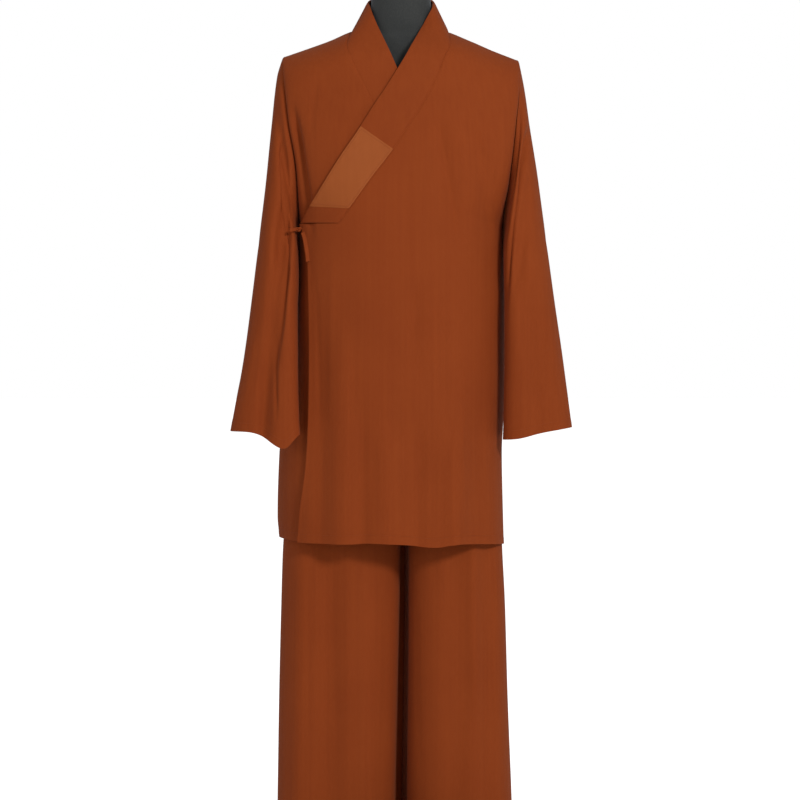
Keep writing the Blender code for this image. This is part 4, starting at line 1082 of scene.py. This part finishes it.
def sleeve_grid(name, rings, sides):
    """Rings from the armhole, where they follow the body's edge, to the cuff."""
    rows = SLEEVES[name]
    sign = SIGNS[name]
    t = np.linspace(0, 1, rings + 1) ** 1.15
    across, deep = turn(circle(sides))
    line = {key: along(rows, "along", key, t)[:, None] for key in SLEEVE_COLUMNS[1:]}
    points = np.empty((rings + 1, sides, 3))
    for k, axis in enumerate("xyz"):
        out, under = line["out_" + axis], line["in_" + axis]
        points[..., k] = (out + under) / 2 + (out - under) / 2 * across
    pointed = np.sign(deep) * armhole_arch(across)
    settled = smooth(0, SLEEVE_SETTLED, t)[:, None]
    points[..., 1] -= line["depth"] * (pointed * (1 - settled) + deep * settled)
    drop = ARMPIT_DROP * (1 - across) / 2
    edge_x = sign * (half_width(float(sign), drop) + SEAM_CLOSED)
    edge_y = -ARMHOLE_DEPTH * np.sign(deep) * armhole_arch(across)
    armhole = np.stack((edge_x, edge_y, height_at(edge_x, drop)), axis=-1)
    points += (armhole - points[0]) * (1 - smooth(0, ARMHOLE_LEFT, t))[:, None, None]
    fade = smooth(0, FOLDS_IN, t)[:, None]
    for face in (-1, 1):
        facing_it = np.clip(-face * deep, 0, 1) ** 0.5
        dip = relief(SLEEVE_FOLDS[name, face], points[..., 0], points[..., 2]) * facing_it * fade
        points[..., 1] -= face * dip
    dip_x, outward, inside, dip_drop = CUFF_DIP[name]
    past = sign * (points[..., 0] - dip_x)
    near = np.exp(-(past / np.where(past > 0, outward, inside)) ** 2)
    points[..., 2] -= dip_drop * near * smooth(0.75, 1, t)[:, None] * (deep > -0.5)
    return points, t


def make_sleeve(name, cloth):
    points, t = sleeve_grid(name, *SLEEVE_FINE)
    sign = SIGNS[name]
    normal = normals_of(points, closed=True)
    middle = points.mean(axis=1, keepdims=True)
    normal = normal * np.sign(np.sum(normal * (points - middle)))
    fade = smooth(0, CREASES_IN, t)[:, None]
    for face in (-1, 1):
        points = pressed(points, normal, SLEEVE_CREASES[name, face], toward(normal, 1, face) * fade)
    points = pressed(points, normal, OUTER_CREASES, toward(normal, 0, sign) * fade, points[..., 1])
    cuff = from_end(points, 0)
    points = finished(points, normal, hem_relief(cuff) + seam_relief(lengths(points, 0)))
    line, out = row_line(points, normal, cuff, HEM - STITCH_INSET)
    points, normal = tucked(points, normal)
    made = shell("panel_sleeve_" + name, points, inward(normal, CLOTH, ()), cloth, closed=True)
    standing_for(made, "sleeve_" + name)
    return made, [(np.concatenate((line, line[:1])), np.concatenate((out, out[:1])))]


# Tie

def over_surface(line, raised):
    """Points raised from the over front's outer surface, along a line of x and height."""
    x, height = np.array(line, dtype=float).T
    reach = 0.004
    grid = []
    for shift in (-reach, 0, reach):
        grid.append(body_points(-1, x + shift, drop_at(x + shift, height)))
    grid = np.stack(grid, axis=1)
    lower = body_points(-1, x, drop_at(x, height - reach))
    normal = np.cross(grid[:, 2] - grid[:, 0], grid[:, 1] - lower)
    normal = unit(-normal * np.sign(normal[:, 1:2]))
    middle = grid[:, 1]
    return middle + normal * (over_lift(middle)[:, None] + raised), normal


def fine_line(points, count):
    """A line of points read more finely, by its running length."""
    points = np.array(points, dtype=float)
    length = lengths(points[:, None], 0)[:, 0]
    rows = dict(zip("xyz", points.T), s=length)
    at = np.linspace(0, length[-1], count)
    return np.stack([along(rows, "s", axis, at) for axis in "xyz"], axis=-1)


def ribbon(name, line, width, out, cloth, node):
    """A narrow folded strip along a line, a little crowned, with the dent of stitching near both edges."""
    across = np.linspace(-1, 1, 9)
    crown = 0.00035 * (1 - across ** 2) - 0.0002 * np.exp(-((np.abs(across) - 0.75) / 0.12) ** 2)
    grid = line[:, None] + width * across[:, None] + out[:, None] * crown[:, None]
    step = np.repeat(-TIE_CLOTH * out[:, None], len(across), axis=1)
    return standing_for(shell(name, grid, step, cloth), node)


def knot_rings(centre, turns, sides):
    """Sections round a trefoil path, as wide, deep and high as the knot."""
    s = circle(turns)
    path = (np.sin(s) + 2 * np.sin(2 * s), 0.9 * np.sin(3 * s), np.cos(s) - 2 * np.cos(2 * s))
    path = np.stack(path, axis=-1)
    path = path / np.abs(path).max(axis=0) * (np.array(KNOT_SIZE) - KNOT_STRAND)
    ahead = unit(np.roll(path, -1, axis=0) - np.roll(path, 1, axis=0))
    side = unit(np.cross(ahead, (0, 1, 0.01)))
    up = np.cross(side, ahead)
    angle = circle(sides)[:, None]
    wide = side[:, None] * np.cos(angle) * KNOT_STRAND
    high = up[:, None] * np.sin(angle) * KNOT_STRAND * 0.8
    return path[:, None] + wide + high + centre


def make_tie(cloth):
    """A tied knot, with one end across to the sleeve and one along the free edge."""
    centre, _ = over_surface([KNOT_AT], GAP + KNOT_SIZE[1] + KNOT_STAND)
    rings = knot_rings(centre[0], 72, 10)
    index = np.arange(rings.shape[0] * rings.shape[1]).reshape(rings.shape[:2])
    after = np.roll(index, -1, axis=0)
    quads = np.stack((index, np.roll(index, -1, 1), np.roll(after, -1, 1), after), axis=-1)
    knot = placed("tie_tied_knot", rings.reshape(-1, 3).tolist(), quads.reshape(-1, 4).tolist(), cloth)
    knot.data.uv_layers.new(name="UVMap")
    standing_for(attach(knot, "root"), "tie_knot")
    line = fine_line([(x, 0, z) for x, z in TIE_DOWN], 30)[:, (0, 2)]
    line, out = over_surface(line, GAP + TIE_CLOTH + TIE_STAND)
    half = TIE_WIDTH / 2
    down = ribbon("tie_hanging_end", line, np.array((half, 0, 0.0006)), out, cloth, "tie_end_down")
    line = fine_line(centre[0] + np.array(TIE_SIDE), 16)
    out = np.repeat([[0.0, -1.0, 0.0]], len(line), axis=0)
    across = ribbon("tie_side_end", line, np.array((0, 0, half)), out, cloth, "tie_end_side")
    return knot, down, across


# Trousers

def trouser_grid(leg, face, columns, heights):
    """Half a leg: from the centre seam or inseam (first column) to the side seam (last)."""
    sign = SIGNS[leg]
    read = {key: along(TROUSERS, "height", key, heights)[:, None] for key in TROUSERS if key != "height"}
    inner = read[leg + "_in"] + sign * GAP / 2
    outer = sign * read[leg + "_out"]
    s = (1 - np.cos(np.linspace(0, math.pi, columns + 1))) / 2
    x = inner + (outer - inner) * s
    if face > 0:
        peak, past, end = LEG_FILLS[leg]
        middle = (read["right_in"] + read["left_in"]) / 2
        shift = sign * (inner + (outer - inner) * peak - middle) + past
        bulge = smooth(0, peak, s) * (1 - smooth(peak, end, s))
        x = x - sign * shift * bulge * smooth(*LEG_FILL_HEIGHTS, heights)[:, None]
    rise = read["rise"]
    full = rise * arch(s) + (1 - rise) * arch(2 * s - 1)
    z = np.repeat(heights[:, None], columns + 1, axis=1)
    depth = read["front" if face < 0 else "back"] * full
    dip = relief(TROUSER_FOLDS[leg, face], x, z) * arch(2 * s - 1) ** 0.5
    y = face * (depth - dip + GAP / 2)
    if leg == "right":
        y = y + RIGHT_LEG_SETBACK * smooth(*RIGHT_LEG_HEIGHTS, heights)[:, None] * s ** 2
    return np.stack((x, y, z), axis=-1)


def trouser_heights():
    """Heights of the fine rows, close together at the crotch."""
    rows, _ = TROUSER_FINE
    plain = np.linspace(WAIST_SEAM, TROUSERS["height"][0], rows)
    low, high = CROTCH_SPAN
    plain = plain[(plain > high) | (plain < low)]
    return np.sort(np.concatenate((plain, CROTCH_ROWS)))[::-1]


def make_trouser_panel(leg, face, node, cloth):
    sign = SIGNS[leg]
    heights = trouser_heights()
    points = trouser_grid(leg, face, TROUSER_FINE[1], heights)
    centre = (points[..., 0].mean(), 0, 0.5)
    normal = facing(normals_of(points), points * (1, 1, 0) + (0, 0, 0.5), centre)
    crotch = int(np.argmin(np.abs(heights - CROTCH)))
    facing_it = toward(normal, 1, face) ** 0.5
    points = pressed(points, normal, TROUSER_CREASES[face], facing_it, np.abs(points[..., 0]))
    hem = points[..., 2] - heights[-1]
    side = from_sides(points)
    points = finished(points, normal, hem_relief(hem) + seam_relief(side))
    seams = [(slice(None), slice(-1, None), (0, -face, 0)),
             (slice(0, crotch), slice(0, 1), (-sign, 0, 0)),
             (slice(crotch, None), slice(0, 1), (0, -face, 0))]
    made = shell("panel_" + node, points, inward(normal, CLOTH, seams), cloth)
    standing_for(made, node)
    return made, [row_line(points, normal, hem, HEM - STITCH_INSET)]


def section_ring(right, left, front, back, height, sides):
    """One closed horizontal section."""
    across, deep = turn(circle(sides))
    x = np.where(across < 0, right, left) * across
    y = np.where(deep < 0, front, back) * deep
    return np.stack((x, y, np.full_like(x, height)), axis=-1)


def make_waistband(cloth):
    """An elastic waistband, gathered in short even ripples."""
    rows, sides = 18, 220
    heights = np.linspace(WAIST_TOP, WAIST_SEAM + GAP, rows)
    grids = []
    for clearance in (GAP + BAND_CLOTH, GAP):
        size = [along(FORM, "height", key, WAIST_TOP) + clearance for key in FORM_SIZES]
        grids.append(np.array([section_ring(*size, height, sides) for height in heights]))
    outer, inner = grids
    turns = np.linspace(0, 2 * math.pi * RIPPLES, sides, endpoint=False)
    ripple = RIPPLE * (1 + np.sin(turns))
    swell = np.sin(np.linspace(0, math.pi, rows))[:, None] ** 0.5
    step = inner - outer
    outer = outer + step * (ripple * swell / BAND_CLOTH)[..., None]
    made = shell("waistband_gathered", outer, inner - outer, cloth, closed=True)
    return standing_for(made, "waistband")


# Dress form and stand

def loft(name, rings, finish, node):
    """A closed piece through rings of points, from the lowest up."""
    count, sides = rings.shape[:2]
    faces = quads_of(count, sides, True).reshape(-1, 4).tolist()
    faces += [list(range(sides))[::-1], list(range((count - 1) * sides, count * sides))]
    made = placed(name, rings.reshape(-1, 3).tolist(), faces, finish)
    return standing_for(turned_out(made, 40), node)


def lathe(name, profile, x, finish, node, sides=128):
    """A round piece from a profile of radius and height, with its axis at x."""
    angle = 2 * math.pi * np.arange(sides) / sides
    ring = np.stack((np.cos(angle), np.sin(angle), np.zeros(sides)), axis=-1)
    rings = [radius * ring + (x, 0, height) for radius, height in profile]
    return loft(name, np.array(rings), finish, node)


def make_form(finish):
    """The padded form under its knitted cover, with a seam down each side and the middle."""
    heights = (FORM["height"][:2], np.linspace(0.83, 1.41, 60), np.linspace(1.42, NECK_TOP, 70))
    heights = np.concatenate(heights)
    rings = []
    for height in heights:
        size = [float(along(FORM, "height", key, height)) for key in FORM_SIZES]
        ring = section_ring(*size, height, 144)
        line = np.minimum(np.abs(ring[:, 0]), np.abs(ring[:, 1]))
        pull = 1 - FORM_SEAM * np.exp(-(line / FORM_SEAM_REACH) ** 2) / np.hypot(ring[:, 0], ring[:, 1])
        ring[:, :2] *= pull[:, None]
        rings.append(ring)
    return loft("form_covered", np.array(rings), finish, "form_torso")


def rounded(radius, low, high, roll, steps=6):
    """A profile from the lower rim to the upper one, with both rims rolled over."""
    angles = [math.pi / 2 * k / steps for k in range(steps + 1)]
    under = [(radius - roll + roll * math.sin(a), low + roll - roll * math.cos(a)) for a in angles]
    return under + [(radius - roll + roll * math.cos(a), high - roll + roll * math.sin(a)) for a in angles]


def make_stand(metal, plastic):
    plate = rounded(BASE_RADIUS, 0, BASE_THICK, RIM_ROLL)
    lathe("stand_round_base", plate, 0, metal, "stand_base")
    low = BASE_THICK + GAP
    socket = [(HUB_RADIUS, low), (HUB_RADIUS, low + HUB_STRAIGHT), (HUB_RADIUS - 0.001, low + HUB_SHOULDER)]
    socket += [(HUB_RADIUS - HUB_DRAW * math.sin(a), low + HUB_SHOULDER + HUB_CURVE * (1 - math.cos(a)))
               for a in np.linspace(0.2, math.pi / 2, 8)]
    lathe("stand_socket", socket, POLE_X, metal, "stand_hub", 96)
    tube = [(POLE_RADIUS, low + HUB_HEIGHT + GAP), (POLE_RADIUS, FORM_BOTTOM - GAP)]
    lathe("stand_tube", tube, POLE_X, metal, "stand_pole", 64)
    low = NECK_TOP + GAP
    cap = rounded(CAP_RADIUS, low, low + CAP_HEIGHT, RIM_ROLL)
    lathe("neck_top_cap", cap, 0, plastic, "neck_cap")


# Light and camera

def aimed(name, data, place, looks_at):
    """A lamp or camera in the scene, turned to a point."""
    made = bpy.data.objects.new(name, data)
    made.location = place
    made.rotation_euler = (Vector(looks_at) - Vector(place)).to_track_quat("-Z", "Y").to_euler()
    bpy.context.scene.collection.objects.link(made)
    return made


def area_light(name, place, looks_at, size, power):
    data = bpy.data.lights.new(name, "AREA")
    data.shape = "RECTANGLE"
    data.size, data.size_y = size
    data.energy = power
    aimed(name, data, place, looks_at)


def backdrop(scene):
    """White to the camera, and a softer even light on the object."""
    world = bpy.data.worlds.new("studio")
    world.use_nodes = True
    tree = world.node_tree
    seen = tree.nodes.new("ShaderNodeLightPath").outputs["Is Camera Ray"]
    strength = tree.nodes.new("ShaderNodeMapRange")
    set_inputs(strength, To_Min=SKY_LIGHT)
    tree.links.new(seen, strength.inputs["Value"])
    shade = tree.nodes["Background"]
    set_inputs(shade, Color=(1, 1, 1, 1))
    tree.links.new(strength.outputs[0], shade.inputs["Strength"])
    scene.world = world


def make_floor():
    """A large pale floor, lit up to the backdrop's white where the camera sees it."""
    make = Nodes("studio_floor")
    seen = make.add("ShaderNodeLightPath").outputs["Is Camera Ray"]
    set_inputs(make.shader, Base_Color=(0.9, 0.9, 0.9, 1), Roughness=0.9, Emission_Color=(1, 1, 1, 1))
    make.join(make.math("MULTIPLY", seen, FLOOR_GLOW), make.shader.inputs["Emission Strength"])
    corners = [(-30, -30, 0), (30, -30, 0), (30, 30, 0), (-30, 30, 0)]
    floor = placed("studio_floor", corners, [(0, 1, 2, 3)], make.material)
    floor.location.z = -0.0002


def make_studio():
    scene = bpy.context.scene
    scene.view_settings.view_transform = "Standard"
    backdrop(scene)
    make_floor()
    for name, place, size, power in LAMPS:
        area_light(name, place, (0, 0, 1.0), size, power)


def make_camera():
    data = bpy.data.cameras.new("camera")
    distance = (Vector(CAMERA_LOOKS_AT) - Vector(CAMERA_AT)).length
    data.sensor_width = SENSOR
    data.lens = SENSOR * distance / FRAME_WIDTH
    bpy.context.scene.camera = aimed("camera", data, CAMERA_AT, CAMERA_LOOKS_AT)


def main():
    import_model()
    make_camera()
    make_studio()
    cloth, band, patch, sewing = [woven(name, *values) for name, values in WOVEN.items()]
    cover = jersey("cover_jersey", CHARCOAL, CHARCOAL_DARK)
    metal, plastic = [coated(name, *values) for name, values in COATED.items()]

    under, under_lines = make_front_under(cloth)
    over, over_lines = make_front_over(cloth)
    back, back_lines = make_back(cloth)
    collar, collar_lines = make_collar(band)
    laid, patch_lines = make_patch(patch)
    jacket = stitches("stitching_jacket", under_lines + over_lines + back_lines + collar_lines, sewing)
    patch_sewing = stitches("stitching_patch", patch_lines, sewing)
    sleeves, sleeve_lines = [], []
    for name in SIGNS:
        sleeve, lines = make_sleeve(name, cloth)
        sleeves.append(sleeve)
        sleeve_lines += lines
    cuff_sewing = stitches("stitching_cuffs", sleeve_lines, sewing)
    tie = make_tie(band)
    legs, leg_lines = [], []
    for name in SIGNS:
        for face, part in ((-1, "front"), (1, "back")):
            leg, lines = make_trouser_panel(name, face, "trouser_" + part + "_" + name, cloth)
            legs.append(leg)
            leg_lines += lines
    leg_sewing = stitches("stitching_trousers", leg_lines, sewing)
    waist = make_waistband(band)
    make_form(cover)
    make_stand(metal, plastic)


main()
